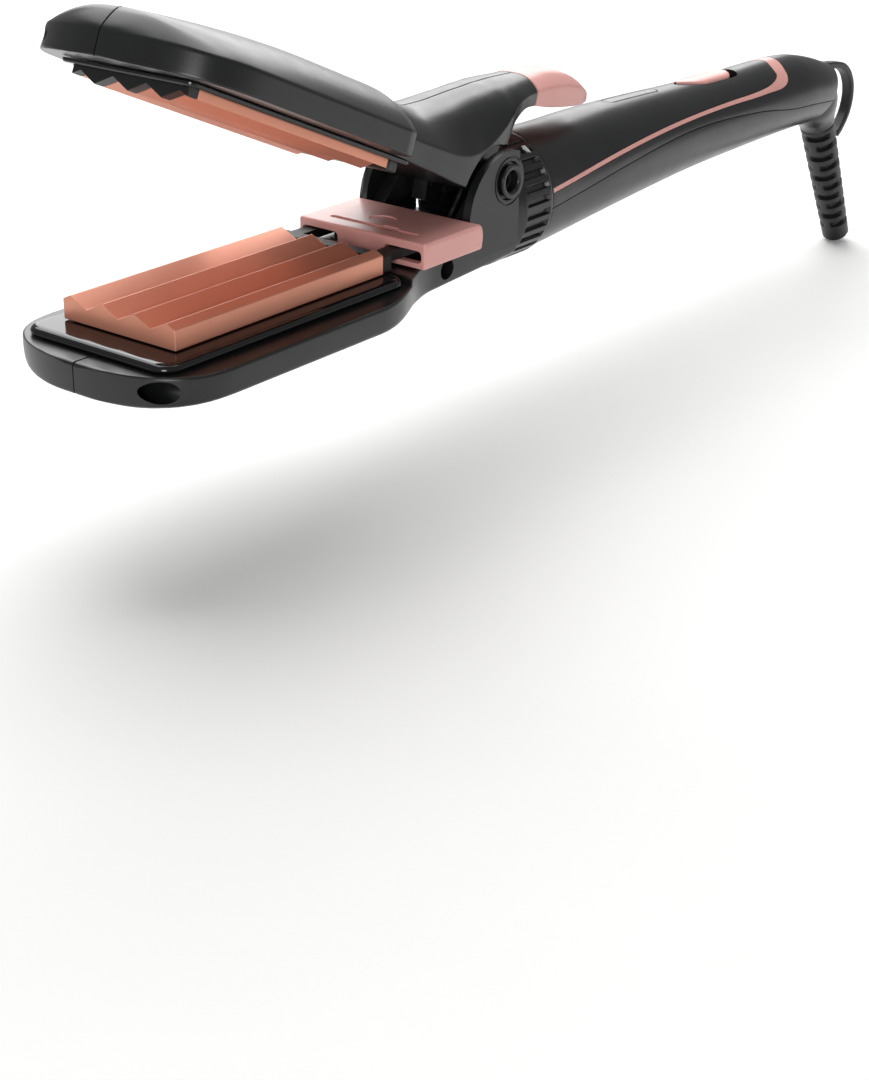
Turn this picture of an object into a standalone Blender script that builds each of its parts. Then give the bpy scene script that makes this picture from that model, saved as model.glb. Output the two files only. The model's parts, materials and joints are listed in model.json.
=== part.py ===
"""Hair crimper with a swing-over ridged plate, modelled as an assembly of separate pieces.

All sizes below are millimetres in the plate frame: x runs from the front edge of the plates
towards the handle, y across the tool, z up from the underside of the ridged insert plate.
The upper jaw and the lever are described with the jaws closed and then turned open about the
hinge. One empty moves the plate frame so that the origin lies under the middle of the plates,
on the flat land of the belly that the tool rests on.
"""
import math

import bmesh
import bpy
from mathutils import Matrix, Vector

MM = 0.001
GAP = 0.3                      # clearance between pieces that touch

# Heated plates
PLATE_LENGTH = 73.0
PLATE_WIDTH = 36.0
RIDGE_PITCH = 10.35
RIDGE_HEIGHT = 2.5
VALLEY_Z = 3.6                 # lowest line of the insert's crimp face
NEST_GAP = 0.5                 # vertical gap between the two crimp faces when closed
SKIRT = 1.0                    # wall of the insert around the lower plate
SKIRT_END_GAP = 0.7            # the insert swings off the plate in an arc, so its ends need more room
LOWER_PLATE_TOP = 1.4
UPPER_PLATE_TOP = 8.4
COMB_LENGTH = 3.0
REAR_BLOCK_LENGTH = 4.0
HEATER_THICKNESS = 3.0
HEATER_MARGIN = 7.0            # from the plate's long sides to the heater

# Lower jaw and neck
LOWER_NOSE_X = -14.5
NOSE_LENGTH = 24.5
PADDLE_MARGIN = 11.9           # jaw beyond the plate on each side
PADDLE_HALF = PLATE_WIDTH / 2 + PADDLE_MARGIN
NECK_HALF = 18.6
SWEEP_START_X = PLATE_LENGTH - 14.0
SWEEP_END_X = PLATE_LENGTH + 21.0
DECK_Z = -2.6
NECK_DECK_X = PLATE_LENGTH + 4.3
NECK_DECK_Z = -0.9
WALL_FOOT_Z = -10.0
NECK_FOOT_Z = -7.8
FOOT_RISE_X = PLATE_LENGTH + 13.0
BELLY_DEPTH = 3.4
BELLY_FLAT_HALF = 10.0
BELLY_END_X = PLATE_LENGTH + 19.0
WALL = 2.0
CHANNEL_HALF = 5.4             # half width of the lead's channel in the neck
CHANNEL_FLOOR = 1.3
CHANNEL_DROP = 1.4             # the channel is this much deeper where it passes under the neck screw
RIM_MARGIN = 5.5               # how far the raised rim stands out beyond the plate's sides
RIM_FRONT = 8.6

# Hinge
HINGE_X = PLATE_LENGTH + 51.9
HINGE_Z = 13.2
OPEN_ANGLE = math.radians(23.35)
OVER_OPEN = math.radians(2.5)
PIN_RADIUS = 2.5
PIN_BORE = 1.5
BUSH_WALL = 2.1
BUSH_RADIUS = PIN_RADIUS + BUSH_WALL
SIDE_PLAY = 0.4
EAR_WALL = 2.4
EAR_INNER = NECK_HALF - EAR_WALL
ARM_WIDTH = 4.0
ARM_HALF_IN = EAR_INNER - SIDE_PLAY - ARM_WIDTH
WEB_HALF = ARM_HALF_IN - SIDE_PLAY
EAR_CENTRE_DX = -0.3
EAR_CENTRE_DZ = -8.9
EAR_RADIUS = 16.9
EAR_REAR_X = HINGE_X + BUSH_RADIUS - 0.1
SPRING_HALF = 5.3
SPRING_WIRE = 0.55
SPRING_TURNS = 5.0

# Upper jaw
UPPER_NOSE_X = -12.0
CHEEK_X = PLATE_LENGTH - 4.5
UPPER_FOOT_Z = 8.7
CREASE_Z = 14.6
CROWN_RISE = 9.6
ARM_STATIONS = [     # crest x from the hinge, z, band z, foot x from the hinge, z, width from the neck's
    (-54.4, 24.4, 14.6, -54.4, 8.7, 2.0),
    (-44.9, 23.7, 14.4, -44.9, 8.5, 0.8),
    (-32.4, 23.1, 14.6, -32.4, 8.1, 0.2),
    (-23.4, 26.0, 14.9, -23.4, 7.7, -0.2),
    (-16.3, 29.4, 16.6, -16.3, 7.6, -0.7),
    (-11.3, 31.9, 19.0, -11.3, 7.8, -1.6),
    (-6.5, 34.2, 23.0, -5.9, 8.4, -2.6),
    (-2.5, 36.2, 27.2, -0.9, 9.0, -3.6),
    (0.3, 37.4, 30.0, 1.3, 14.0, -4.4),
    (2.1, 38.2, 31.6, 1.7, 20.5, -4.8),
    (4.1, 39.1, 33.2, 2.7, 23.8, -5.4),
    (6.6, 40.1, 35.0, 4.7, 28.6, -6.2),
    (9.1, 41.1, 36.7, 8.5, 32.6, -7.1),
    (11.9, 42.2, 38.2, 11.8, 34.3, -8.0),
    (14.6, 43.3, 39.5, 15.1, 35.4, -8.6),
]
TIP_STATIONS = [     # the same for the lever's tip
    (15.1, 43.55, 39.75, 15.7, 35.6, -8.6),
    (18.5, 45.1, 41.3, 20.0, 36.4, -8.6),
    (22.6, 46.8, 43.0, 25.0, 37.4, -8.6),
    (29.5, 48.6, 45.0, 32.5, 39.4, -8.9),
    (36.5, 49.0, 46.0, 39.0, 41.4, -9.6),
    (41.9, 47.9, 45.7, 43.3, 43.2, -11.0),
    (44.4, 46.8, 45.6, 45.0, 44.3, -13.2),
]

# Latch bar and its posts
BAR_FRONT_X = PLATE_LENGTH + 9.6
BAR_LENGTH = 24.4
BAR_OVERHANG = 2.45            # beyond the neck on each side when the bar is centred
BAR_WIDTH = 2 * (NECK_HALF + BAR_OVERHANG)
BAR_TOP = 6.4
BAR_BOTTOM = -0.3
BAR_OFFSET = -2.7              # the bar stands this far towards the near side when released
BAR_TRAVEL = 4.0
BAR_WALL = 2.0
POST_X = BAR_FRONT_X + 10.9
POST_Y = 2.5
POST_RADIUS = 1.5
POST_HEAD = 2.7
GUIDE_X = BAR_FRONT_X + 4.3
GUIDE_Y = 7.2
GUIDE_RADIUS = 1.3

# Lock ring and spigot
AXIS_Z = 2.4
SPIGOT_RADIUS = 12.5
SPIGOT_WALL = 2.0
SPIGOT_FACE = 2.4              # thickness of the spigot's front wall
RING_X = EAR_REAR_X + 2 * GAP
RING_LENGTH = 17.3
RING_WALL = 4.8
RING_BORE = SPIGOT_RADIUS + GAP
RING_RADIUS = RING_BORE + RING_WALL
BOLT_TRAVEL = 3.0
BOLT_Y = SPIGOT_RADIUS - 4.9
BOLT_Z = AXIS_Z + 3.1
BOLT_HALF = 1.2
BOLT_HALF_HEIGHT = 1.1
PEG_X = RING_X + 8.5
PEG_RADIUS = 0.9
RING_TURN = math.radians(40.0)

# Handle
HANDLE_X = RING_X + RING_LENGTH + GAP
HANDLE_LENGTH = 177.4
HANDLE_FRONT_RADIUS = RING_RADIUS - GAP
HANDLE_THIN_RADIUS = 12.6
SHELL = 2.0
HANDLE_SHAPE = [               # share of the length, centre above the axis, taper, reduction
    (0.000, 0.10, 1.000, 0.0),
    (0.047, 0.10, 0.894, 0.0),
    (0.101, 0.20, 0.787, 0.0),
    (0.223, 1.00, 0.638, 0.0),
    (0.365, 1.40, 0.404, 0.0),
    (0.507, 1.45, 0.170, 0.0),
    (0.649, 1.30, 0.043, 0.0),
    (0.791, 1.30, 0.000, 0.0),
    (0.893, 0.90, 0.000, 0.3),
    (0.949, -0.10, 0.000, 1.0),
    (0.994, -1.20, 0.000, 1.9),
    (1.028, -1.90, 0.000, 3.0),
    (1.075, -2.60, 0.000, 4.4),
]
PARTING = [                    # share of the length, angle of the shells' parting line, degrees
    (0.00, -7.0),
    (0.20, 2.4),
    (0.47, 12.8),
    (0.68, 5.4),
    (0.84, -11.0),
    (1.03, -14.0),
]
STRIPE = [                     # share of the length, angle above the middle, half width
    (0.003, 9.6, 0.6),
    (0.120, 15.4, 0.6),
    (0.230, 19.9, 0.6),
    (0.355, 24.8, 0.6),
    (0.480, 28.4, 0.6),
    (0.600, 30.2, 0.65),
    (0.680, 30.0, 0.75),
    (0.735, 31.2, 1.0),
    (0.772, 34.5, 1.7),
    (0.793, 41.0, 2.4),
    (0.801, 49.0, 2.8),
    (0.805, 58.0, 2.8),
    (0.812, 68.0, 2.7),
    (0.820, 79.0, 2.6),
    (0.824, 90.0, 2.6),
]
STRIPE_BACK = 0.949            # share of the length behind which the stripe keeps one radius
STRIPE_DEPTH = 0.8
HANDLE_HEAD_DEPTH = 4.2        # from the handle's underside to the screw heads' seats
HANDLE_SCREWS = {"handle_screw_front": 0.171, "handle_screw_rear": 0.859}

# Switch, window and board in the handle
SWITCH_X = HANDLE_X + 0.51 * HANDLE_LENGTH
SWITCH_LENGTH = 28.0
SWITCH_HALF = 4.3
SWITCH_TRAVEL = 4.0
COVER_HALF = 5.4
WINDOW_X = HANDLE_X + 0.284 * HANDLE_LENGTH
WINDOW_LENGTH = 27.0
WINDOW_HALF = 2.0
BOARD_X = HANDLE_X + 44.4
BOARD_HALF = HANDLE_THIN_RADIUS - SHELL - 2.6
BOARD_TOP = AXIS_Z + 3.2
BOARD_THICKNESS = 1.6
SWITCH_BODY_TOP = BOARD_TOP + 3.6

# Cord swivel at the handle's end
SWIVEL_X = HANDLE_X + HANDLE_LENGTH
SWIVEL_Z = AXIS_Z - 3.4
SWIVEL_TILT = math.radians(40.0)
STALK_RADIUS = 4.6
CORD_BORE = 2.7
BOOT_TILT = math.radians(63.0)
BOOT_LENGTH = 50.0
BOOT_TOP_RADIUS = 6.0
BOOT_END_RADIUS = 4.7
BOOT_RIBS = 10
RIB_DEPTH = 1.3

# Screws
SCREW_HEAD = 2.3
SCREW_SHANK = 1.1
BOSS_RADIUS = 3.6
HEAD_ROOM = 0.4
NOSE_SCREW_X = LOWER_NOSE_X + 5.5
NOSE_SCREW_Z = -6.2
NOSE_SCREW_DEPTH = 9.0         # from the middle plane to the screw head's seat
NECK_SCREW_X = PLATE_LENGTH + 25.4
NECK_SCREW_Z = -4.75
NECK_SCREW_DEPTH = 12.0
SMALL_HEAD = 1.6
SMALL_SHANK = 0.8
SPIGOT_SCREW_Y = 7.0
SPIGOT_SCREW_Z = -2.6

# Colours, finish: (red, green, blue), roughness, metallic
FINISHES = {
    "satin_black": ((0.022, 0.023, 0.023), 0.38, 0.0),
    "gloss_black": ((0.010, 0.010, 0.011), 0.12, 0.0),
    "rose_plastic": ((0.76, 0.42, 0.38), 0.35, 0.0),
    "copper_coat": ((0.78, 0.36, 0.24), 0.30, 0.6),
    "steel": ((0.55, 0.55, 0.56), 0.30, 1.0),
    "black_steel": ((0.05, 0.05, 0.05), 0.40, 0.8),
    "brass": ((0.75, 0.55, 0.22), 0.30, 1.0),
    "ceramic": ((0.80, 0.79, 0.76), 0.55, 0.0),
    "board_green": ((0.03, 0.16, 0.07), 0.45, 0.0),
    "clear_window": ((0.25, 0.27, 0.27), 0.10, 0.0),
    "led_white": ((0.85, 0.87, 0.85), 0.20, 0.0),
    "black_rubber": ((0.016, 0.016, 0.016), 0.62, 0.0),
    "lead_sleeve": ((0.80, 0.80, 0.78), 0.70, 0.0),
}


# ---------------------------------------------------------------- helpers

def clear_scene():
    for old in list(bpy.data.objects):
        bpy.data.objects.remove(old, do_unlink=True)


def material(name):
    """Return the named material, made once from FINISHES."""
    if name in bpy.data.materials:
        return bpy.data.materials[name]
    colour, roughness, metallic = FINISHES[name]
    made = bpy.data.materials.new(name)
    made.use_nodes = True
    shader = made.node_tree.nodes["Principled BSDF"]
    shader.inputs["Base Color"].default_value = (*colour, 1.0)
    shader.inputs["Roughness"].default_value = roughness
    shader.inputs["Metallic"].default_value = metallic
    return made


def solid(name, points, faces, finish, frame):
    """A closed mesh object from plate-frame points, hung on frame = (empty, pivot point)."""
    empty, pivot = frame
    mesh = bpy.data.meshes.new(name)
    verts = [(Vector(p) - Vector(pivot)) * MM for p in points]
    mesh.from_pydata(verts, [], faces)
    shape = bmesh.new()
    shape.from_mesh(mesh)
    bmesh.ops.recalc_face_normals(shape, faces=shape.faces)
    shape.to_mesh(mesh)
    shape.free()
    mesh.materials.append(material(finish))
    made = bpy.data.objects.new(name, mesh)
    bpy.context.collection.objects.link(made)
    made.parent = empty
    return made


def loft(name, rings, finish, frame, close_ends=True):
    """Skin a row of rings that have the same number of points."""
    count = len(rings[0])
    points = [p for ring in rings for p in ring]
    faces = []
    for i in range(len(rings) - 1):
        for j in range(count):
            k = (j + 1) % count
            faces.append((i * count + j, i * count + k, (i + 1) * count + k, (i + 1) * count + j))
    if close_ends:
        faces.append(tuple(range(count)))
        faces.append(tuple(range(len(points) - count, len(points))))
    else:
        last = (len(rings) - 1) * count
        for j in range(count):
            k = (j + 1) % count
            faces.append((last + j, last + k, k, j))
    return solid(name, points, faces, finish, frame)


def box(name, low, high, finish, frame):
    """A block between two corners."""
    (x0, y0, z0), (x1, y1, z1) = low, high
    rings = [[(x, y0, z0), (x, y1, z0), (x, y1, z1), (x, y0, z1)] for x in (x0, x1)]
    return loft(name, rings, finish, frame)


def prism(name, outline, y0, y1, finish, frame):
    """An outline in the x-z plane, extruded across the tool from y0 to y1."""
    rings = [[(x, y, z) for x, z in outline] for y in (y0, y1)]
    return loft(name, rings, finish, frame)


def turned(name, profile, origin, direction, finish, frame, sides=16):
    """A closed (distance along axis, radius) profile turned about an axis through origin."""
    axis = Vector(direction).normalized()
    helper = Vector((0, 1, 0)) if abs(axis.y) < 0.9 else Vector((0, 0, 1))
    side = axis.cross(helper).normalized()
    up = axis.cross(side)
    rings = []
    for i in range(sides):
        angle = 2 * math.pi * i / sides
        out = side * math.cos(angle) + up * math.sin(angle)
        rings.append([tuple(Vector(origin) + axis * s + out * r) for s, r in profile])
    return loft(name, rings, finish, frame, close_ends=False)


def rod(name, origin, direction, length, radius, finish, frame, sides=16):
    """A plain cylinder that starts at origin."""
    axis = Vector(direction).normalized()
    helper = Vector((0, 1, 0)) if abs(axis.y) < 0.9 else Vector((0, 0, 1))
    side = axis.cross(helper).normalized()
    up = axis.cross(side)
    angles = [2 * math.pi * i / sides for i in range(sides)]
    rings = []
    for s in (0.0, length):
        centre = Vector(origin) + axis * s
        rings.append([tuple(centre + (side * math.cos(a) + up * math.sin(a)) * radius) for a in angles])
    return loft(name, rings, finish, frame)


def pipe(name, path, radius, finish, frame, sides=8):
    """A round wire along a list of points."""
    rings = []
    side = None
    for i, point in enumerate(path):
        before = Vector(path[max(i - 1, 0)])
        after = Vector(path[min(i + 1, len(path) - 1)])
        along = (after - before).normalized()
        if side is None:
            helper = Vector((0, 0, 1)) if abs(along.z) < 0.9 else Vector((1, 0, 0))
            side = along.cross(helper).normalized()
        side = (side - along * side.dot(along)).normalized()
        up = along.cross(side)
        angles = [2 * math.pi * j / sides for j in range(sides)]
        rings.append([tuple(Vector(point) + (side * math.cos(a) + up * math.sin(a)) * radius)
                      for a in angles])
    return loft(name, rings, finish, frame)


def boolean(target, cutter, operation, folded=False):
    """Apply one exact Boolean and delete the cutter; folded allows a cutter that touches itself."""
    step = target.modifiers.new("step", "BOOLEAN")
    step.operation = operation
    step.solver = "EXACT"
    step.use_self = folded
    step.object = cutter
    bpy.context.view_layer.update()
    graph = bpy.context.evaluated_depsgraph_get()
    result = bpy.data.meshes.new_from_object(target.evaluated_get(graph))
    result.name = target.name
    target.modifiers.clear()
    target.data = result
    bpy.data.objects.remove(cutter, do_unlink=True)


def cut(target, *cutters):
    for cutter in cutters:
        boolean(target, cutter, "DIFFERENCE")


def add(target, *others):
    for other in others:
        boolean(target, other, "UNION")


def smooth_table(rows, x, column=1):
    """Smooth value at x from rows sorted by their first entry: a Catmull-Rom curve."""
    if x <= rows[0][0]:
        return rows[0][column]
    if x >= rows[-1][0]:
        return rows[-1][column]
    i = max(n for n in range(len(rows) - 1) if rows[n][0] <= x)
    span = rows[i + 1][0] - rows[i][0]
    t = (x - rows[i][0]) / span

    def slope(n):
        a, b = max(n - 1, 0), min(n + 1, len(rows) - 1)
        return (rows[b][column] - rows[a][column]) / (rows[b][0] - rows[a][0]) * span

    p0, p1 = rows[i][column], rows[i + 1][column]
    m0, m1 = slope(i), slope(i + 1)
    return ((2 * t**3 - 3 * t**2 + 1) * p0 + (t**3 - 2 * t**2 + t) * m0
            + (-2 * t**3 + 3 * t**2) * p1 + (t**3 - t**2) * m1)


def turn_point(x, z, angle):
    """Turn (x, z) about the hinge; a positive angle lifts what is in front of it."""
    dx, dz = x - HINGE_X, z - HINGE_Z
    c, s = math.cos(angle), math.sin(angle)
    return HINGE_X + c * dx + s * dz, HINGE_Z - s * dx + c * dz


def zigzag(y):
    """Height of the crimp face above the insert's underside at the place y."""
    phase = (abs(y) / RIDGE_PITCH) % 1.0
    return VALLEY_Z + RIDGE_HEIGHT * (1.0 - 2.0 * abs(phase - 0.5))


def ridge_lines():
    """The y values at which the crimp face bends, from one plate edge to the other."""
    half = PLATE_WIDTH / 2
    steps = int(half / (RIDGE_PITCH / 2))
    inner = [n * RIDGE_PITCH / 2 for n in range(-steps, steps + 1)]
    return [-half] + inner + [half]


def countersunk(name, head, direction, length, frame):
    """A countersunk screw; head is the middle of its flat outer face."""
    profile = [(0, 0.01), (0, SCREW_HEAD), (0.9, SCREW_HEAD), (1.7, SCREW_SHANK),
               (length - 1.0, SCREW_SHANK), (length, 0.4), (length, 0.01)]
    turned(name, profile, head, direction, "black_steel", frame, 12)


# ---------------------------------------------------------------- frames

def make_frames():
    """The tool frame and one pivot empty for each moving group."""
    def empty(name, parent, place):
        made = bpy.data.objects.new(name, None)
        bpy.context.collection.objects.link(made)
        made.parent = parent
        made.location = Vector(place) * MM
        return made

    tool = empty("tool_frame", None, (-PLATE_LENGTH / 2, 0, BELLY_DEPTH - WALL_FOOT_Z))
    hinge = (HINGE_X, 0, HINGE_Z)
    jaw = empty("jaw_pivot", tool, hinge)
    jaw.rotation_euler = (0, OPEN_ANGLE, 0)
    insert = empty("insert_pivot", tool, hinge)
    bar_place = (BAR_FRONT_X, BAR_OFFSET, 0)
    bar = empty("bar_slide", insert, Vector(bar_place) - Vector(hinge))
    ring_place = (RING_X, 0, AXIS_Z)
    ring = empty("ring_pivot", tool, ring_place)
    bolt_place = (PEG_X, BOLT_Y, BOLT_Z)
    bolt = empty("bolt_slide", tool, bolt_place)
    switch_place = (SWITCH_X, 0, 0)
    switch = empty("switch_slide", tool, switch_place)
    swivel_place = (SWIVEL_X, 0, SWIVEL_Z)
    swivel = empty("swivel_pivot", tool, swivel_place)
    return {
        "body": (tool, (0, 0, 0)),
        "jaw": (jaw, hinge),
        "insert": (insert, hinge),
        "bar": (bar, bar_place),
        "ring": (ring, ring_place),
        "bolt": (bolt, bolt_place),
        "switch": (switch, switch_place),
        "swivel": (swivel, swivel_place),
    }


# ---------------------------------------------------------------- lower jaw

def nose_half_width(x, nose_x, half):
    """Blunt rounded nose: a superellipse that reaches full width after NOSE_LENGTH."""
    back = nose_x + NOSE_LENGTH
    if x >= back:
        return half
    u = (back - x) / NOSE_LENGTH
    return max(half * (1 - u**3) ** 0.4545, 7.0)


def lower_half_width(x, inset=0.0):
    """Half width of the lower jaw: round nose, straight sides, soft sweep in to the neck."""
    width = nose_half_width(x, LOWER_NOSE_X + inset, PADDLE_HALF - inset)
    if x > SWEEP_START_X:
        t = min((x - SWEEP_START_X) / (SWEEP_END_X - SWEEP_START_X), 1.0)
        drop = (PADDLE_HALF - NECK_HALF) * (1 - math.cos(math.pi * t)) / 2
        width = PADDLE_HALF - inset - drop
    return width


def lower_foot(x):
    """Height of the side wall's lower edge."""
    if x < FOOT_RISE_X:
        return WALL_FOOT_Z
    t = min((x - FOOT_RISE_X) / (EAR_REAR_X - FOOT_RISE_X), 1.0)
    return WALL_FOOT_Z + (NECK_FOOT_Z - WALL_FOOT_Z) * t


def belly_depth(x):
    """How far the belly bulges below the side walls."""
    nose = min(max((x - LOWER_NOSE_X) / 16.0, 0.06), 1.0)
    tail = min(max((BELLY_END_X - x) / 26.0, 0.06), 1.0)
    return BELLY_DEPTH * math.sin(nose * math.pi / 2) * math.sin(tail * math.pi / 2)


def lower_stations(inset):
    """x of the lower jaw's cross-sections: close together at the nose and along the sweep."""
    nose = [LOWER_NOSE_X + inset + dx for dx in (0, 0.5, 1.5, 3.2, 6, 10, 16, NOSE_LENGTH)]
    sweep = [SWEEP_START_X + (SWEEP_END_X - SWEEP_START_X) * n / 7 for n in range(8)]
    return nose + [PLATE_LENGTH * 0.4] + sweep


def lower_ring(x, side, seam, inset=0.0):
    """Half cross-section of the lower jaw from the seam on top round to the seam below."""
    top = (DECK_Z if x <= NECK_DECK_X else NECK_DECK_Z) - inset
    foot = lower_foot(x) + inset
    deep = lower_foot(x) - belly_depth(x) + inset
    w = lower_half_width(x, inset)
    flat = min(BELLY_FLAT_HALF, w * 0.5)
    edge = 0.7 if inset == 0 else 0.1
    outline = [
        (seam, top), (w - edge, top), (w, top - edge), (w - 0.9, foot + 1.2),
        (w - 2.0, foot), (w * 0.45 + flat * 0.55, foot * 0.25 + deep * 0.75), (flat, deep), (seam, deep),
    ]
    return [(x, side * y, z) for y, z in outline]


def ear_outline(clearance=0.0, samples=14):
    """Ear seen from the side: an arc about its centre, cut off by the flat rear plane."""
    cx, cz = HINGE_X + EAR_CENTRE_DX, HINGE_Z + EAR_CENTRE_DZ
    radius = EAR_RADIUS + clearance
    rear = EAR_REAR_X + clearance
    start = math.acos((rear - cx) / radius)
    points = []
    for n in range(samples + 1):
        angle = start + (math.pi * 1.08 - start) * n / samples
        points.append((cx + radius * math.cos(angle), cz + radius * math.sin(angle)))
    root_z = NECK_FOOT_Z + 2.8
    points.append((cx - radius * 0.93, root_z))
    points.append((rear, root_z))
    return points


def lower_casing(side, name, frame):
    """One half of the lower jaw with its neck and hinge ear; side is -1 near, +1 far."""
    seam = GAP / 2
    stations = sorted(lower_stations(0.0) + [NECK_DECK_X, NECK_DECK_X + 0.2, EAR_REAR_X])
    half = loft(name, [lower_ring(x, side, seam) for x in stations], "satin_black", frame)

    ends = sorted((side * EAR_INNER, side * NECK_HALF))
    add(half, prism("ear", ear_outline(), ends[0], ends[1], "satin_black", frame))

    hollow_end = NECK_DECK_X - WALL
    inside = [x for x in lower_stations(WALL) if x < hollow_end] + [hollow_end]
    hollow = [lower_ring(x, side, -1.0, WALL) for x in inside]
    cut(half, loft("hollow", hollow, "satin_black", frame))

    across = sorted((-side, side * CHANNEL_HALF))
    runs = ((hollow_end - 4, NECK_SCREW_X + 12, CHANNEL_DROP), (NECK_SCREW_X, EAR_REAR_X + 2, 0.0))
    for x0, x1, drop in runs:
        cut(half, box("channel", (x0, across[0], NECK_FOOT_Z + CHANNEL_FLOOR - drop),
                      (x1, across[1], NECK_DECK_Z - WALL), "satin_black", frame))
    cut(half, deck_window(side, DECK_Z - WALL - 1, DECK_Z + 1, 4.0, frame))
    cut(half, rod("ear_hole", (HINGE_X, side * (EAR_INNER - 1), HINGE_Z), (0, side, 0), EAR_WALL + 3,
                  BUSH_RADIUS - 0.7, "satin_black", frame, 20))

    add(half, rod("boss", (NOSE_SCREW_X, side * seam, NOSE_SCREW_Z), (0, side, 0), NOSE_SCREW_DEPTH + 3,
                  BOSS_RADIUS, "satin_black", frame, 12))
    across_hole(half, NOSE_SCREW_X, NOSE_SCREW_Z, NOSE_SCREW_DEPTH, side, -1, frame)
    across_hole(half, NECK_SCREW_X, NECK_SCREW_Z, NECK_SCREW_DEPTH, side, -1, frame)
    cut(half, rod("spigot_pilot", (EAR_REAR_X - 7, side * SPIGOT_SCREW_Y, SPIGOT_SCREW_Z), (1, 0, 0), 9,
                  SMALL_SHANK + GAP, "satin_black", frame, 10))
    for x, y, hole in ((POST_X, POST_Y, POST_RADIUS + GAP), (GUIDE_X, GUIDE_Y, GUIDE_RADIUS + GAP)):
        if y * side > 0:
            cut(half, rod("post_hole", (x, y, NECK_DECK_Z - 4.0), (0, 0, 1), 6, hole,
                          "satin_black", frame, 12))
    return half


def deck_window(side, low, high, margin, frame):
    """Opening in a casing's deck over the heater, from the middle to margin inside the plate."""
    across = sorted((-side, side * (PLATE_WIDTH / 2 - margin)))
    return box("window", (margin + 1, across[0], low), (PLATE_LENGTH - margin * 2, across[1], high),
               "satin_black", frame)


def across_hole(half, x, z, depth, side, head_side, frame):
    """Through hole and head recess in the head's half of a casing, blind hole in the other half."""
    shank = SCREW_SHANK + GAP
    if side == head_side:
        cut(half, rod("shank_hole", (x, -side, z), (0, side, 0), depth + 2, shank, "satin_black", frame, 12))
        cut(half, rod("head_hole", (x, side * depth, z), (0, side, 0), 30, SCREW_HEAD + HEAD_ROOM,
                      "satin_black", frame, 16))
    else:
        cut(half, rod("pilot", (x, -side, z), (0, side, 0), 10.5, shank, "satin_black", frame, 12))


def rounded_rectangle(x0, x1, half, radius, samples=5):
    """Plan outline (x, y) of a rectangle with round corners."""
    centres = [(x1 - radius, half - radius, 0), (x0 + radius, half - radius, 90),
               (x0 + radius, radius - half, 180), (x1 - radius, radius - half, 270)]
    points = []
    for cx, cy, start in centres:
        for n in range(samples + 1):
            angle = math.radians(start + 90 * n / samples)
            points.append((cx + radius * math.cos(angle), cy + radius * math.sin(angle)))
    return points


def frame_ring(name, outer, inner, levels, finish, frame):
    """A flat frame: (z, outward offset) levels outside, straight walls inside."""
    (x0, x1, half, radius), (a0, a1, inner_half) = outer, inner
    rings = []
    for z, offset in levels:
        outline = rounded_rectangle(x0 - offset, x1 + offset, half + offset, radius + offset)
        rings.append([(x, y, z) for x, y in outline])
    body = loft(name, rings, finish, frame)
    low, high = levels[0][0] - 1, levels[-1][0] + 1
    cut(body, box("opening", (a0, -inner_half, low), (a1, inner_half, high), finish, frame))
    return body


def lower_jaw_pieces(frame):
    half = PLATE_WIDTH / 2
    plate_half = half - SKIRT - GAP
    plate_x0 = SKIRT + SKIRT_END_GAP
    plate_x1 = PLATE_LENGTH - plate_x0
    lower_casing(-1, "lower_casing_near", frame)
    lower_casing(1, "lower_casing_far", frame)
    box("lower_flat_plate", (plate_x0, -plate_half, DECK_Z + GAP), (plate_x1, plate_half, LOWER_PLATE_TOP),
        "copper_coat", frame)

    levels = [(DECK_Z + GAP, -0.3), (DECK_Z + 1.3, 0.0), (-1.0, -0.5), (-GAP, -2.0)]
    rim_outer = (-RIM_FRONT, NECK_DECK_X - 0.6, half + RIM_MARGIN, 5.0)
    rim_inner = (plate_x0 - GAP, plate_x1 + GAP, plate_half + GAP)
    frame_ring("lower_rim_frame", rim_outer, rim_inner, levels, "gloss_black", frame)

    box("lower_heater", (8, HEATER_MARGIN - half, DECK_Z - HEATER_THICKNESS - 0.2),
        (PLATE_LENGTH - 11, half - HEATER_MARGIN, DECK_Z), "ceramic", frame)
    heater_leaf("lower_heater_leaf", DECK_Z - HEATER_THICKNESS - 0.2 - GAP, -1, frame)

    for name, x, z, depth in (("nose_screw", NOSE_SCREW_X, NOSE_SCREW_Z, NOSE_SCREW_DEPTH),
                              ("neck_screw", NECK_SCREW_X, NECK_SCREW_Z, NECK_SCREW_DEPTH)):
        countersunk(name, (x, -depth - 1.9, z), (0, 1, 0), depth + 7.0, frame)

    top = NECK_DECK_Z + 5.6
    post = [(0, 0.01), (0, POST_RADIUS), (7.3, POST_RADIUS), (7.5, POST_HEAD), (8.4, POST_HEAD - 0.1),
            (9.0, 1.7), (9.2, 0.01)]
    turned("latch_post", post, (POST_X, POST_Y, top - 9.2), (0, 0, 1), "black_steel", frame, 16)
    head = GUIDE_RADIUS + 0.7
    guide = [(0, 0.01), (0, GUIDE_RADIUS), (4.6, GUIDE_RADIUS), (4.6, head), (7.6, head), (7.6, 0.01)]
    notched = turned("guide_post", guide, (GUIDE_X, GUIDE_Y, NECK_DECK_Z - 3.6), (0, 0, 1), "black_steel",
                     frame, 8)
    notch_z = NECK_DECK_Z + 4.0
    notch = [(GUIDE_X - 1.0, notch_z + 1.5), (GUIDE_X, notch_z), (GUIDE_X + 1.0, notch_z + 1.5)]
    cut(notched, prism("notch", notch, GUIDE_Y - 4, GUIDE_Y + 4, "black_steel", frame))


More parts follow.
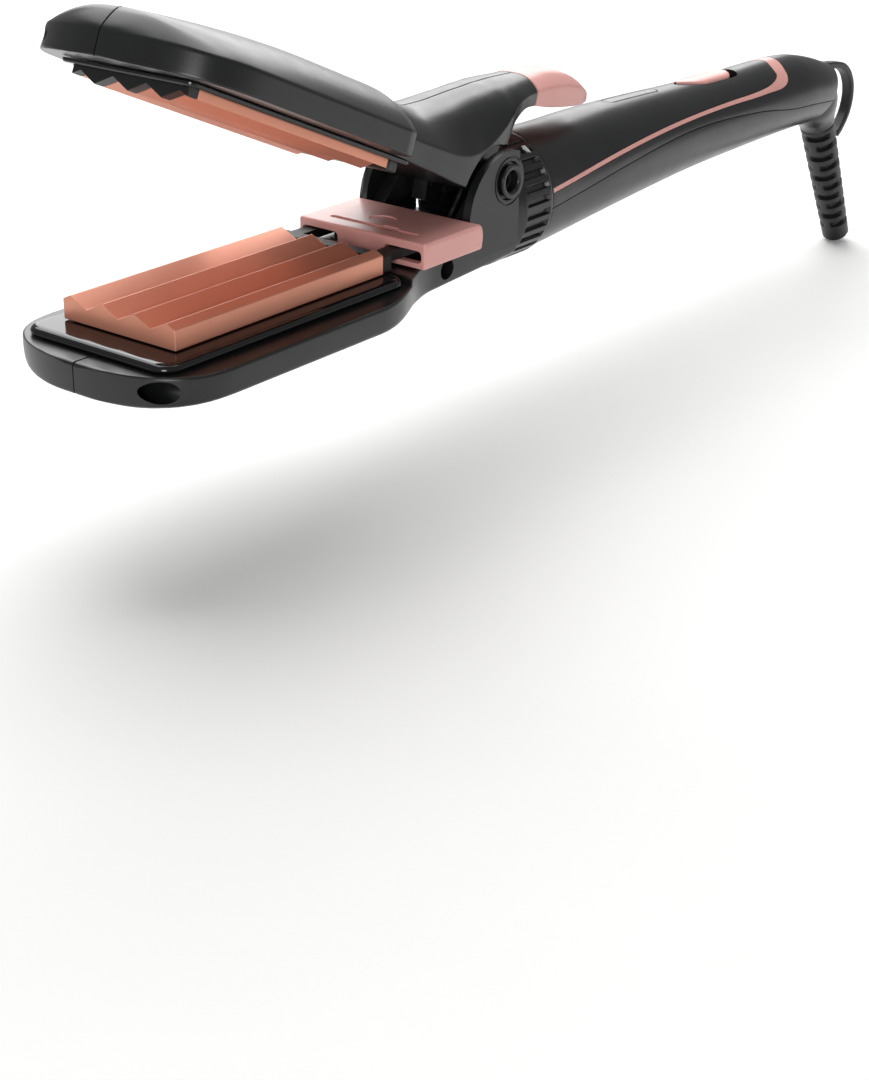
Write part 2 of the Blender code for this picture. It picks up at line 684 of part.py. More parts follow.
def heater_leaf(name, face_z, direction, frame):
    """Bent steel leaf that presses a heater to its plate; face_z is the heater's back."""
    middle = PLATE_LENGTH / 2 - 1
    rise = 3.6 * direction
    line = [(-20, rise), (-15, rise), (-10, 0), (10, 0), (15, rise), (20, rise)]
    low = [(middle + dx, face_z + dz) for dx, dz in line]
    high = [(x, z + 0.5 * direction) for x, z in reversed(low)]
    prism(name, low + high, -5, 5, "steel", frame)


# ---------------------------------------------------------------- hinge

def hinge_pieces(frame):
    centre = (HINGE_X, 0, HINGE_Z)
    pin_half = EAR_INNER + 1.3
    pin = [(-pin_half, PIN_BORE), (-pin_half, PIN_RADIUS), (pin_half, PIN_RADIUS), (pin_half, PIN_BORE)]
    turned("hinge_pin", pin, centre, (0, 1, 0), "steel", frame, 20)
    bore = PIN_RADIUS + GAP
    face = NECK_HALF + GAP
    bush = [(EAR_INNER + 0.2, bore), (EAR_INNER + 0.2, BUSH_RADIUS - 1.0), (face, BUSH_RADIUS - 1.0),
            (face, BUSH_RADIUS), (face + 0.6, BUSH_RADIUS - 0.1), (face + 0.9, BUSH_RADIUS - 0.6),
            (face + 0.9, bore + 0.3), (face + 0.6, bore)]
    for side, name in ((-1, "hinge_bush_near"), (1, "hinge_bush_far")):
        turned(name, bush, centre, (0, side, 0), "satin_black", frame, 16)

    coil = PIN_RADIUS + GAP + SPRING_WIRE + 0.1
    last = SPRING_HALF - 1.0
    path = [(HINGE_X - 9.0, -last, NECK_DECK_Z + GAP + SPRING_WIRE + 0.1)]
    steps = 50
    start = math.radians(250)
    for n in range(steps + 1):
        angle = start - 2 * math.pi * SPRING_TURNS * n / steps
        path.append((HINGE_X + coil * math.cos(angle), -last + 2 * last * n / steps,
                     HINGE_Z + coil * math.sin(angle)))
    end = start - 2 * math.pi * SPRING_TURNS - 0.5
    reach = PIN_RADIUS + 3.4
    path.append((HINGE_X + reach * math.cos(end), last, HINGE_Z + reach * math.sin(end)))
    pipe("closing_spring", path, SPRING_WIRE, "steel", frame, 5)


# ---------------------------------------------------------------- upper jaw

def lever_section(row, side, seam):
    """Cross-section of the arm or lever from one row of its table."""
    crest = (HINGE_X + row[0], row[1])
    foot = (HINGE_X + row[3], row[4])
    return section(side, seam, crest, row[2], foot, NECK_HALF + row[5])


def crown_rise(x):
    """Height of the crown above the crease along the middle of the upper jaw."""
    run = x - UPPER_NOSE_X
    front = min(run / 5.0, 1.0)
    swell = math.sin(min(max(run / 55.0, 0.0), 1.0) * math.pi / 2)
    return 0.4 + 5.2 * math.sin(front * math.pi / 2) + (CROWN_RISE - 5.6) * swell


def section(side, seam, crest, band, foot, width, inset=0.0):
    """Half cross-section shared by the upper jaw and the lever; crest and foot are (x, z)."""
    (xt, zt), (xb, zb) = crest, foot
    zt, zb = zt - inset, zb + inset
    band, width = band - inset, width - inset
    drop = zt - band
    edge = 0.7 if inset == 0 else 0.1
    outline = [
        (seam, zt), (width * 0.45, zt - drop * 0.14), (width * 0.8, zt - drop * 0.52),
        (width - 0.9, band + 0.1), (width, band - 0.5), (width, zb + edge), (width - edge, zb), (seam, zb),
    ]
    tall = zt - zb
    return [(xb + (xt - xb) * (z - zb) / tall, side * y, z) for y, z in outline]


def jaw_section(x, side, seam, inset=0.0):
    width = nose_half_width(x, UPPER_NOSE_X + inset, PADDLE_HALF - inset)
    top = CREASE_Z + crown_rise(x)
    return section(side, seam, (x, top), CREASE_Z, (x, UPPER_FOOT_Z),
                   width + inset, inset)


def upper_casing(side, name, frame):
    """One half of the upper jaw, arm and thumb lever."""
    seam = GAP / 2
    flanks = [PLATE_LENGTH - 43, PLATE_LENGTH - 25, PLATE_LENGTH - 9]
    front = [UPPER_NOSE_X + dx for dx in (0, 0.4, 1.2, 2.8, 5, 9, 15, NOSE_LENGTH)] + flanks
    rings = [jaw_section(x, side, seam) for x in front]
    for dx, trim in ((-1.5, 0.8), (0.0, 3.0), (0.7, 6.5)):
        x = CHEEK_X + dx
        top = CREASE_Z + crown_rise(x)
        rings.append(section(side, seam, (x, top), CREASE_Z, (x, UPPER_FOOT_Z), PADDLE_HALF - trim))
    rings += [lever_section(row, side, seam) for row in ARM_STATIONS]
    half = loft(name, rings, "satin_black", frame)

    barrel_y = sorted((side * seam, side * WEB_HALF))
    add(half, rod("barrel", (HINGE_X, barrel_y[0], HINGE_Z), (0, 1, 0), barrel_y[1] - barrel_y[0],
                  BUSH_RADIUS, "satin_black", frame, 20))
    lug_foot = BOLT_Z - BOLT_HALF_HEIGHT - 0.9
    lug = [(HINGE_X - 2.4, HINGE_Z - 1), (HINGE_X - 1.4, lug_foot), (HINGE_X + 3.9, lug_foot),
           (HINGE_X + 4.0, HINGE_Z - 1)]
    if side * BOLT_Y > 0:
        add(half, prism("lug", lug, SPRING_HALF + 0.4, BOLT_Y + BOLT_HALF + 1.6, "satin_black", frame))

    relief_y = sorted((side * WEB_HALF, side * 40.0))
    ear = ear_outline(0.8)
    cut(half, prism("ear_relief", ear, relief_y[0], relief_y[1], "satin_black", frame))
    swung = [turn_point(x, z, -(OPEN_ANGLE + OVER_OPEN)) for x, z in ear]
    cut(half, prism("ear_relief_open", swung, relief_y[0], relief_y[1], "satin_black", frame))

    nose = [UPPER_NOSE_X + WALL + dx for dx in (0, 0.5, 1.6, 3.6, 7, 13, NOSE_LENGTH - WALL)]
    hollow = [jaw_section(x, side, -1.0, WALL) for x in nose + flanks + [CHEEK_X - 2.5]]
    cut(half, loft("hollow", hollow, "satin_black", frame))
    cut(half, deck_window(side, UPPER_FOOT_Z - 1, UPPER_FOOT_Z + 4, 4.0, frame))
    cut(half, rod("pin_bore", (HINGE_X, -20, HINGE_Z), (0, 1, 0), 40, PIN_RADIUS + GAP,
                  "satin_black", frame, 20))
    cut(half, rod("spring_room", (HINGE_X, -SPRING_HALF, HINGE_Z), (0, 1, 0), 2 * SPRING_HALF,
                  PIN_RADIUS + 4.5, "satin_black", frame, 24))
    if side * BOLT_Y > 0:
        cut(half, bolt_room("bolt_pocket", HINGE_X + 1.2, HINGE_X + 8, frame))

    for x, z, depth in upper_screw_places():
        add(half, rod("boss", (x, side * seam, z), (0, side, 0), 12.0, 2.9, "satin_black", frame, 12))
        across_hole(half, x, z, depth, side, 1, frame)
    return half


def bolt_room(name, x0, x1, frame):
    """The lock bolt's cross-section with its clearance, from x0 to x1."""
    y, z = BOLT_HALF + GAP, BOLT_HALF_HEIGHT + GAP
    return box(name, (x0, BOLT_Y - y, BOLT_Z - z), (x1, BOLT_Y + y, BOLT_Z + z), "satin_black", frame)


def upper_screw_places():
    return [(UPPER_NOSE_X + 6.4, 12.2, 9.0), (HINGE_X - 36.9, 15.0, 9.0)]


def crimp_outline(lift, top):
    """Cross-section (y, z) of a plate whose lower side nests in the insert's ridges."""
    lower = [(y, zigzag(y) + lift) for y in ridge_lines()]
    half = PLATE_WIDTH / 2
    return lower + [(half, top), (-half, top)]


def along_plate(name, outline, x0, x1, finish, frame):
    """A cross-section in y and z run along the plate."""
    rings = [[(x, y, z) for y, z in outline] for x in (x0, x1)]
    return loft(name, rings, finish, frame)


def upper_jaw_pieces(frame):
    half = PLATE_WIDTH / 2
    upper_casing(-1, "upper_casing_near", frame)
    upper_casing(1, "upper_casing_far", frame)
    along_plate("upper_crimp_plate", crimp_outline(NEST_GAP, UPPER_PLATE_TOP), COMB_LENGTH + GAP,
                PLATE_LENGTH, "copper_coat", frame)
    along_plate("upper_front_comb", crimp_outline(NEST_GAP, UPPER_PLATE_TOP), 0.0, COMB_LENGTH,
                "satin_black", frame)
    box("upper_rear_block", (PLATE_LENGTH + GAP, -half, 5.0),
        (PLATE_LENGTH + GAP + REAR_BLOCK_LENGTH, half, UPPER_PLATE_TOP), "satin_black", frame)
    levels = [(7.4, -0.5), (7.8, 0.0), (UPPER_PLATE_TOP, 0.0)]
    outer = (-2.6, PLATE_LENGTH + 6.4, half + 2.6, 2.5)
    inner = (-GAP, PLATE_LENGTH + REAR_BLOCK_LENGTH + 2 * GAP, half + GAP)
    frame_ring("upper_rim_frame", outer, inner, levels, "gloss_black", frame)

    box("upper_heater", (8, HEATER_MARGIN - half, UPPER_FOOT_Z),
        (PLATE_LENGTH - 11, half - HEATER_MARGIN, UPPER_FOOT_Z + HEATER_THICKNESS), "ceramic", frame)
    heater_leaf("upper_heater_leaf", UPPER_FOOT_Z + HEATER_THICKNESS + GAP, 1, frame)

    rings = []
    for row in TIP_STATIONS:
        far = lever_section(row, 1, 0.0)
        near = lever_section(row, -1, 0.0)
        rings.append(far + list(reversed(near))[1:-1])
    loft("lever_tip", rings, "rose_plastic", frame)

    names = ("upper_nose_screw", "upper_arm_screw")
    for name, (x, z, depth) in zip(names, upper_screw_places()):
        countersunk(name, (x, depth + 1.9, z), (0, -1, 0), 15.0, frame)


# ---------------------------------------------------------------- insert plate and latch bar

def insert_pieces(frame):
    half = PLATE_WIDTH / 2
    outline = [(-half, 0.0)] + [(y, zigzag(y)) for y in ridge_lines()] + [(half, 0.0)]
    plate = along_plate("insert_plate", outline, 0.0, PLATE_LENGTH, "copper_coat", frame)
    cut(plate, box("recess", (SKIRT, -half + SKIRT, -1.0),
                   (PLATE_LENGTH - SKIRT, half - SKIRT, LOWER_PLATE_TOP + GAP), "copper_coat", frame))

    bar_x = PLATE_LENGTH + GAP
    carrier = box("insert_carrier", (bar_x, -half + 0.6, 0.2), (bar_x + 3.6, half - 0.6, 4.0),
                  "black_steel", frame)
    low_z, high_z = 1.6, 4.0
    ear_front = BAR_FRONT_X + BAR_LENGTH
    arm = [(bar_x + 2, high_z), (bar_x + 2, low_z), (ear_front + 1.0, low_z), (HINGE_X - 5, 5.0),
           (HINGE_X + 1.0, HINGE_Z - 4.2), (HINGE_X - 2.0, HINGE_Z + 3.9), (ear_front + 3.0, high_z + 1.0),
           (ear_front, high_z)]
    for side in (-1, 1):
        span = sorted((side * ARM_HALF_IN, side * (ARM_HALF_IN + ARM_WIDTH)))
        add(carrier, prism("arm", arm, span[0], span[1], "black_steel", frame))
        add(carrier, rod("eye", (HINGE_X, span[0], HINGE_Z), (0, 1, 0), span[1] - span[0],
                         BUSH_RADIUS - 0.2, "black_steel", frame, 20))
    cut(carrier, rod("eye_bore", (HINGE_X, -EAR_INNER - 2, HINGE_Z), (0, 1, 0), 2 * EAR_INNER + 4,
                     PIN_RADIUS + GAP, "black_steel", frame, 20))

    tap_z = 2.3
    thread = 0.7
    for y, name in ((-7.0, "insert_screw_near"), (7.0, "insert_screw_far")):
        cut(carrier, rod("clearance", (bar_x - 1, y, tap_z), (1, 0, 0), 6, thread + GAP,
                         "black_steel", frame, 10))
        cut(plate, rod("tap", (PLATE_LENGTH - SKIRT - 3, y, tap_z), (1, 0, 0), 8, thread + GAP,
                       "copper_coat", frame, 10))
        screw = [(0, 0.01), (0, 1.4), (1.1, 1.5), (1.3, thread), (5.6, thread), (5.9, 0.01)]
        turned(name, screw, (bar_x + 5.2, y, tap_z), (-1, 0, 0), "steel", frame, 10)


def latch_bar(frame):
    """Sliding bar: open below, with a window for each carrier arm and a keyhole lip."""
    x0, x1 = BAR_FRONT_X, BAR_FRONT_X + BAR_LENGTH
    y0, y1 = BAR_OFFSET - BAR_WIDTH / 2, BAR_OFFSET + BAR_WIDTH / 2
    bulge = 0.7
    side_view = [(x0, BAR_BOTTOM), (x0, BAR_TOP), (x1 - 1.0, BAR_TOP), (x1 - 0.3, BAR_TOP - 0.9),
                 (x1 - 0.3 + bulge, (BAR_TOP + BAR_BOTTOM) / 2), (x1 - 0.3, BAR_BOTTOM + 0.6),
                 (x1 - 0.8, BAR_BOTTOM)]
    bar = prism("latch_bar", side_view, y0, y1, "rose_plastic", frame)
    cut(bar, box("hollow", (x0 + BAR_WALL, y0 + BAR_WALL, BAR_BOTTOM - 1),
                 (x1 - BAR_WALL - 0.4, y1 - BAR_WALL, BAR_TOP - 1.2), "rose_plastic", frame))

    inner = ARM_HALF_IN - abs(BAR_OFFSET) - 1.4
    outer = ARM_HALF_IN + ARM_WIDTH + abs(BAR_OFFSET) + 1.2
    for side in (-1, 1):
        span = sorted((BAR_OFFSET + side * inner, BAR_OFFSET + side * outer))
        cut(bar, window_cutter("arm_window", x0 - 2, x1 + 2, span[0], span[1], 1.2, 4.4, frame))

    lip_end = POST_Y - POST_HEAD - GAP
    lip = box("lip", (x0 + 1, lip_end - BAR_TRAVEL - 1.4, BAR_BOTTOM), (x1 - 1.2, lip_end, BAR_BOTTOM + 1.3),
              "rose_plastic", frame)
    add(bar, lip)
    stem = POST_RADIUS + 0.5
    cut(bar, box("keyhole", (POST_X - stem, lip_end - BAR_TRAVEL + 0.2, BAR_BOTTOM - 1),
                 (POST_X + stem, lip_end + 1, BAR_BOTTOM + 3), "rose_plastic", frame))
    cut(bar, box("sight_hole", (x0 + 4.2, BAR_OFFSET - 7.0, BAR_TOP - 4),
                 (x0 + 7.6, BAR_OFFSET - 1.6, BAR_TOP + 1), "rose_plastic", frame))
    cut(bar, box("finger_groove", (x0 + 4.6, BAR_OFFSET - 14.5, BAR_TOP - 0.45),
                 (x0 + 6.6, BAR_OFFSET + 14.5, BAR_TOP + 1), "rose_plastic", frame))
    return bar


def window_cutter(name, x0, x1, y0, y1, z0, z1, frame):
    """A slot with round ends that runs along x."""
    radius = (z1 - z0) / 2
    centre = (z0 + z1) / 2
    outline = []
    for n in range(7):
        angle = math.radians(-90 + 30 * n)
        outline.append((y1 - radius + radius * math.cos(angle), centre + radius * math.sin(angle)))
    for n in range(7):
        angle = math.radians(90 + 30 * n)
        outline.append((y0 + radius + radius * math.cos(angle), centre + radius * math.sin(angle)))
    return along_plate(name, outline, x0, x1, "rose_plastic", frame)


# ---------------------------------------------------------------- lock ring and spigot

def lock_ring(frame):
    """Grip ring with axial ribs on both sides and a plain band on top and below."""
    sides = 48
    x0, x1 = RING_X, RING_X + RING_LENGTH
    counterbore = RING_BORE + 2.0
    levels = [(x0, -0.8, False), (x0 + 1.0, 0.0, False), (x0 + 3.6, 0.0, False), (x0 + 4.2, 0.0, True),
              (x1 - 1.0, 0.0, True), (x1 - 0.5, -0.1, False)]
    rings = []
    for n in range(sides):
        angle = 2 * math.pi * n / sides
        lateral = abs(math.cos(angle)) > 0.42
        profile = []
        for x, offset, ribbed in levels:
            groove = 1.0 if ribbed and lateral and n % 2 else 0.0
            profile.append((x, RING_RADIUS + offset - groove))
        profile += [(x1, RING_RADIUS - 0.3), (x1, RING_BORE), (x0 + 3.0, RING_BORE), (x0 + 2.6, counterbore),
                    (x0, counterbore)]
        rings.append([(x, r * math.cos(angle), AXIS_Z + r * math.sin(angle)) for x, r in profile])
    ring = loft("lock_ring", rings, "satin_black", frame, close_ends=False)

    peg = math.atan2(BOLT_Z - AXIS_Z, BOLT_Y)
    margin = math.radians(9)
    low, high = peg - RING_TURN - margin, peg + margin
    arc = [(RING_BORE + 1.9, low + (high - low) * n / 6) for n in range(7)]
    arc += [(RING_BORE - 2.0, high - (high - low) * n / 6) for n in range(7)]
    pocket = [[(x, r * math.cos(a), AXIS_Z + r * math.sin(a)) for r, a in arc]
              for x in (PEG_X - BOLT_TRAVEL - 1.6, PEG_X + 1.6)]
    cut(ring, loft("cam_pocket", pocket, "satin_black", frame))
    return ring


def spigot_pieces(frame):
    """Tube that joins the neck to the handle, with the ring turning on it."""
    inner = SPIGOT_RADIUS - SPIGOT_WALL
    mouth = inner - 3.3
    flange = SPIGOT_RADIUS + 1.7
    x0 = EAR_REAR_X + GAP
    face = x0 + SPIGOT_FACE
    end = HANDLE_X + 14.0
    profile = [(x0, mouth), (x0, flange), (face, flange), (face, SPIGOT_RADIUS), (end - 4, SPIGOT_RADIUS),
               (end - 4, SPIGOT_RADIUS + 1.2), (end, SPIGOT_RADIUS + 1.2), (end, inner), (face, inner),
               (face, mouth)]
    spigot = turned("neck_spigot", profile, (0, 0, AXIS_Z), (1, 0, 0), "satin_black", frame, 28)
    cut(spigot, bolt_room("bolt_slot", x0 - 1, face + 1, frame))
    out = peg_direction()
    wide = PEG_RADIUS + 0.4
    slot = [[(x, BOLT_Y + out.y * s - out.z * t, BOLT_Z + out.z * s + out.y * t)
             for s, t in ((0.6, -wide), (8.0, -wide), (8.0, wide), (0.6, wide))]
            for x in (PEG_X - BOLT_TRAVEL - PEG_RADIUS - 0.6, PEG_X + PEG_RADIUS + 0.6)]
    cut(spigot, loft("peg_slot", slot, "satin_black", frame))
    low, high = click_window()
    cut(spigot, box("click_hole", (low, -2.1, AXIS_Z - SPIGOT_RADIUS - 2), (high, 2.1, AXIS_Z - inner + 2),
                    "satin_black", frame))
    for side, name in ((-1, "spigot_screw_near"), (1, "spigot_screw_far")):
        y = side * SPIGOT_SCREW_Y
        cut(spigot, rod("screw_hole", (x0 - 1, y, SPIGOT_SCREW_Z), (1, 0, 0), 5, SMALL_SHANK + GAP,
                        "satin_black", frame, 10))
        head = 1.4
        screw = [(0, 0.01), (0, SMALL_HEAD), (head, SMALL_HEAD), (head, SMALL_SHANK), (head + 8, SMALL_SHANK),
                 (head + 8.5, 0.01)]
        turned(name, screw, (face + GAP + head, y, SPIGOT_SCREW_Z), (-1, 0, 0), "steel", frame, 10)
    return spigot


def peg_direction():
    """Radial direction of the bolt's peg, out from the ring's axis."""
    return Vector((0, BOLT_Y, BOLT_Z - AXIS_Z)).normalized()


def lock_bolt(frame):
    """Bolt that the ring pushes forward into the closed jaw's lug."""
    body = box("lock_bolt", (EAR_REAR_X + 0.5, BOLT_Y - BOLT_HALF, BOLT_Z - BOLT_HALF_HEIGHT),
               (PEG_X + 2.5, BOLT_Y + BOLT_HALF, BOLT_Z + BOLT_HALF_HEIGHT), "steel", frame)
    start = math.hypot(BOLT_Y, BOLT_Z - AXIS_Z)
    add(body, rod("peg", (PEG_X, BOLT_Y, BOLT_Z), peg_direction(), RING_BORE + 1.1 - start, PEG_RADIUS,
                  "steel", frame, 10))
    return body


def click_leaf(frame):
    """Bent leaf inside the spigot; its bump stands in a window under the ring's bore."""
    rest = SPIGOT_RADIUS - SPIGOT_WALL - 0.5
    bump = SPIGOT_RADIUS - 0.1
    x0, x1 = click_window()
    line = [(x0 - 4.0, rest), (x0 + 0.3, rest), (x0 + 2.3, bump), (x0 + 3.3, bump), (x1 - 0.3, rest),
            (x1 + 3.0, rest)]
    low = [(x, AXIS_Z - r) for x, r in line]
    prism("click_leaf", low + [(x, z + 0.4) for x, z in reversed(low)], -1.8, 1.8, "steel", frame)


def click_window():
    """x where the click leaf's window starts and ends."""
    return RING_X + 10.8, RING_X + 16.4


# ---------------------------------------------------------------- handle

def along_handle(share):
    return HANDLE_X + share * HANDLE_LENGTH


def handle_share(x):
    return (x - HANDLE_X) / HANDLE_LENGTH


def handle_centre(x):
    return AXIS_Z + smooth_table(HANDLE_SHAPE, handle_share(x), 1)


def handle_radius(x):
    taper = smooth_table(HANDLE_SHAPE, handle_share(x), 2)
    reduction = smooth_table(HANDLE_SHAPE, handle_share(x), 3)
    return HANDLE_THIN_RADIUS + (HANDLE_FRONT_RADIUS - HANDLE_THIN_RADIUS) * taper - reduction


def parting_angle(x):
    return smooth_table(PARTING, handle_share(x))


def joint_height(x):
    """Height of the shells' parting line at x."""
    return handle_centre(x) + handle_radius(x) * math.sin(math.radians(parting_angle(x)))


def handle_point(x, degrees, inset=0.0, side=-1):
    """A point on the handle's surface; degrees above the middle on the near (-1) or far side."""
    r = handle_radius(x) - inset
    a = math.radians(degrees)
    return (x, side * r * math.cos(a), handle_centre(x) + r * math.sin(a))


def tail_plane_x(z):
    """x of the oblique rear opening at height z, where the cord swivel sits."""
    return SWIVEL_X + (z - SWIVEL_Z) * math.tan(SWIVEL_TILT)


def arc_angles(x, upper, gap, steps):
    """Angles round one half of the handle, from parting line to parting line."""
    part = parting_angle(x)
    if upper:
        start, stop = part + gap, 180 - part - gap
    else:
        start, stop = part - gap, -180 - part + gap
    return [start + (stop - start) * n / steps for n in range(steps + 1)]


def handle_shell(name, upper, frame):
    """Half of the handle: an outer and an inner skin between the two parting lines."""
    steps = 11
    rings = []
    for row in HANDLE_SHAPE:
        x = along_handle(row[0])
        angles = arc_angles(x, upper, math.degrees(GAP / 2 / handle_radius(x)), steps)
        outer = [handle_point(x, a) for a in angles]
        inner = [handle_point(x, a, SHELL) for a in reversed(angles)]
        rings.append(outer + inner)
    shell = loft(name, rings, "satin_black", frame)

    rib = []
    for x in (HANDLE_X + 6.0, HANDLE_X + 9.4):
        angles = arc_angles(x, upper, 0.6, steps)
        outer = [handle_point(x, a, SHELL * 0.5) for a in angles]
        inner = [(x, -RING_BORE * math.cos(math.radians(a)), AXIS_Z + RING_BORE * math.sin(math.radians(a)))
                 for a in reversed(angles)]
        rib.append(outer + inner)
    add(shell, loft("clamp_rib", rib, "satin_black", frame))

    for share in HANDLE_SCREWS.values():
        x = along_handle(share)
        joint = joint_height(x)
        crest, foot = handle_centre(x) + handle_radius(x), handle_centre(x) - handle_radius(x)
        if upper:
            add(shell, rod("boss", (x, 0, joint + GAP / 2), (0, 0, 1), crest - 1.0 - joint, 2.8,
                           "satin_black", frame, 12))
            cut(shell, rod("pilot", (x, 0, joint - 1), (0, 0, 1), 8.0, SCREW_SHANK + GAP,
                           "satin_black", frame, 10))
        else:
            add(shell, rod("boss", (x, 0, foot + 1.0), (0, 0, 1), joint - GAP / 2 - foot - 1.0, 3.8,
                           "satin_black", frame, 12))
            cut(shell, rod("shank_hole", (x, 0, foot - 1), (0, 0, 1), joint - foot + 3,
                           SCREW_SHANK + GAP, "satin_black", frame, 10))
            cut(shell, rod("head_hole", (x, 0, foot - 2), (0, 0, 1), HANDLE_HEAD_DEPTH + 2,
                           SCREW_HEAD + HEAD_ROOM, "satin_black", frame, 14))
    cut(shell, tail_cutter(frame))
    return shell


def tail_cutter(frame):
    """Everything behind the oblique plane of the cord swivel."""
    back = 60.0
    rows = [(tail_plane_x(z) - GAP / 2, z) for z in (-40.0, 40.0)]
    outline = [rows[0], rows[1], (rows[1][0] + back, 40.0), (rows[1][0] + back, -40.0)]
    return prism("tail_cut", outline, -40, 40, "satin_black", frame)


def stripe_path():
    """Near-side stripe path, then its mirror: one band from ring to ring round the tail."""
    rows = [(n, *row) for n, row in enumerate(STRIPE)]
    steps = range(3 * len(STRIPE) // 2 + 1)
    near = [[smooth_table(rows, (len(STRIPE) - 1) * n / steps[-1], column) for column in (1, 2, 3)]
            for n in steps]
    far = [[share, 180 - angle, width] for share, angle, width in reversed(near[:-1])]
    return near + far


def stripe_radius(x):
    return handle_radius(min(x, along_handle(STRIPE_BACK)))


def stripe_band(name, extra, depth, lift, frame):
    """The stripe as a closed strip that follows the handle's surface."""
    flat = []
    for share, angle, width in stripe_path():
        x = along_handle(share)
        flat.append((Vector((x, math.radians(angle) * stripe_radius(x))), width + extra))
    rings = []
    for i, (point, width) in enumerate(flat):
        before, after = flat[max(i - 1, 0)][0], flat[min(i + 1, len(flat) - 1)][0]
        along = (after - before).normalized()
        normal = Vector((-along.y, along.x))
        corners = []
        for offset, inset in ((-1, lift), (1, lift), (1, depth), (-1, depth)):
            place = point + normal * offset * width
            corners.append(handle_point(place.x, math.degrees(place.y / stripe_radius(place.x)), inset))
        rings.append(corners)
    return loft(name, rings, "rose_plastic", frame)


def top_block(name, x0, x1, half, low, high_inset, finish, frame, steps=6):
    """A block whose top follows the crest of the handle."""
    rings = []
    for n in range(steps + 1):
        x = x0 + (x1 - x0) * n / steps
        r = handle_radius(x) - high_inset
        ring = [(x, -half, low)]
        for m in range(5):
            y = -half + 2 * half * m / 4
            ring.append((x, y, handle_centre(x) + math.sqrt(r * r - y * y)))
        ring.append((x, half, low))
        rings.append(ring)
    return loft(name, rings, finish, frame)


def crest_height(x):
    return handle_centre(x) + handle_radius(x)


def handle_pieces(frame, switch_frame):
    """Shells, stripe, window, switch and board."""
    upper = handle_shell("handle_upper_shell", True, frame)
    handle_shell("handle_lower_shell", False, frame)
    groove = stripe_band("groove", 0.2, STRIPE_DEPTH + GAP, -1.0, frame)
    boolean(upper, groove, "DIFFERENCE", folded=True)
    stripe_band("stripe_inlay", 0.0, STRIPE_DEPTH, 0.0, frame)

    slot_end = SWITCH_X + SWITCH_LENGTH + SWITCH_TRAVEL + 0.5
    cut_low, cut_high = BOARD_TOP + 3, HANDLE_FRONT_RADIUS * 2
    cut(upper, box("switch_slot", (SWITCH_X - 0.5, -SWITCH_HALF - GAP, cut_low),
                   (slot_end, SWITCH_HALF + GAP, cut_high), "satin_black", frame))
    cut(upper, box("window_slot", (WINDOW_X - GAP, -WINDOW_HALF - GAP, cut_low),
                   (WINDOW_X + WINDOW_LENGTH + GAP, WINDOW_HALF + GAP, cut_high), "satin_black", frame))
    window_end = WINDOW_X + WINDOW_LENGTH
    top_block("indicator_window", WINDOW_X, window_end, WINDOW_HALF,
              crest_height(window_end) - SHELL - 0.8, 0.05, "clear_window", frame)

    cover_top = crest_height(slot_end) - SHELL - 1.9
    slider = top_block("power_switch", SWITCH_X, SWITCH_X + SWITCH_LENGTH, SWITCH_HALF, cover_top - 0.4, -0.9,
                       "rose_plastic", switch_frame)
    add(slider, box("cover", (SWITCH_X - SWITCH_TRAVEL - 1.5, -COVER_HALF, cover_top - 1.2),
                    (slot_end + 1.0, COVER_HALF, cover_top), "rose_plastic", switch_frame))
    middle = SWITCH_X + SWITCH_LENGTH / 2
    add(slider, box("fork", (middle - 1.5, -1.5, SWITCH_BODY_TOP + 0.4), (middle + 1.5, 1.5, cover_top - 0.6),
                    "rose_plastic", switch_frame))
    box("switch_body", (middle - 8, -4, BOARD_TOP + GAP), (middle + 8, 4, SWITCH_BODY_TOP),
        "satin_black", frame)

    board_end = along_handle(HANDLE_SCREWS["handle_screw_rear"]) - 14.0
    box("circuit_board", (BOARD_X, -BOARD_HALF, BOARD_TOP - BOARD_THICKNESS),
        (board_end, BOARD_HALF, BOARD_TOP), "board_green", frame)
    led = [(0, 0.01), (0, 1.6), (4.2, 1.6), (5.2, 1.0), (5.6, 0.01)]
    for name, x in (("status_led", WINDOW_X + 6), ("heat_led", window_end - 6)):
        turned(name, led, (x, 0, BOARD_TOP + GAP), (0, 0, 1), "led_white", frame, 10)

    for name, share in HANDLE_SCREWS.items():
        x = along_handle(share)
        head = handle_centre(x) - handle_radius(x) + HANDLE_HEAD_DEPTH - 1.9
        countersunk(name, (x, 0, head), (0, 0, 1), joint_height(x) - head + 5.0, frame)


def heater_lead(frame):
    """Sleeved lead from the lower heater through the neck and the spigot to the board."""
    low = NECK_FOOT_Z + CHANNEL_FLOOR - CHANNEL_DROP + 0.95
    rear = NECK_DECK_Z - WALL - 0.85
    path = [(PLATE_LENGTH - 14, 4.0, DECK_Z - HEATER_THICKNESS - 1.4), (PLATE_LENGTH - 4, 4.0, low),
            (NECK_SCREW_X, 4.0, low), (NECK_SCREW_X + 4, 4.0, low), (NECK_SCREW_X + 14, 3.2, rear - 0.6),
            (EAR_REAR_X - 2, 1.6, rear), (EAR_REAR_X + 4, 1.6, rear + 0.1), (HANDLE_X, 1.5, -2.0),
            (HANDLE_X + 12, 2.4, -1.2), (BOARD_X - 20, 6.4, 0.6), (BOARD_X - 8, 6.4, 1.6),
            (BOARD_X + 6, 4.0, BOARD_TOP - BOARD_THICKNESS - 1.1)]
    pipe("heater_lead", path, 0.65, "lead_sleeve", frame, 6)


# ---------------------------------------------------------------- cord swivel

def swivel_axis():
    return Vector((math.cos(SWIVEL_TILT), 0, -math.sin(SWIVEL_TILT)))


def boot_axis():
    return Vector((math.cos(BOOT_TILT), 0, -math.sin(BOOT_TILT)))


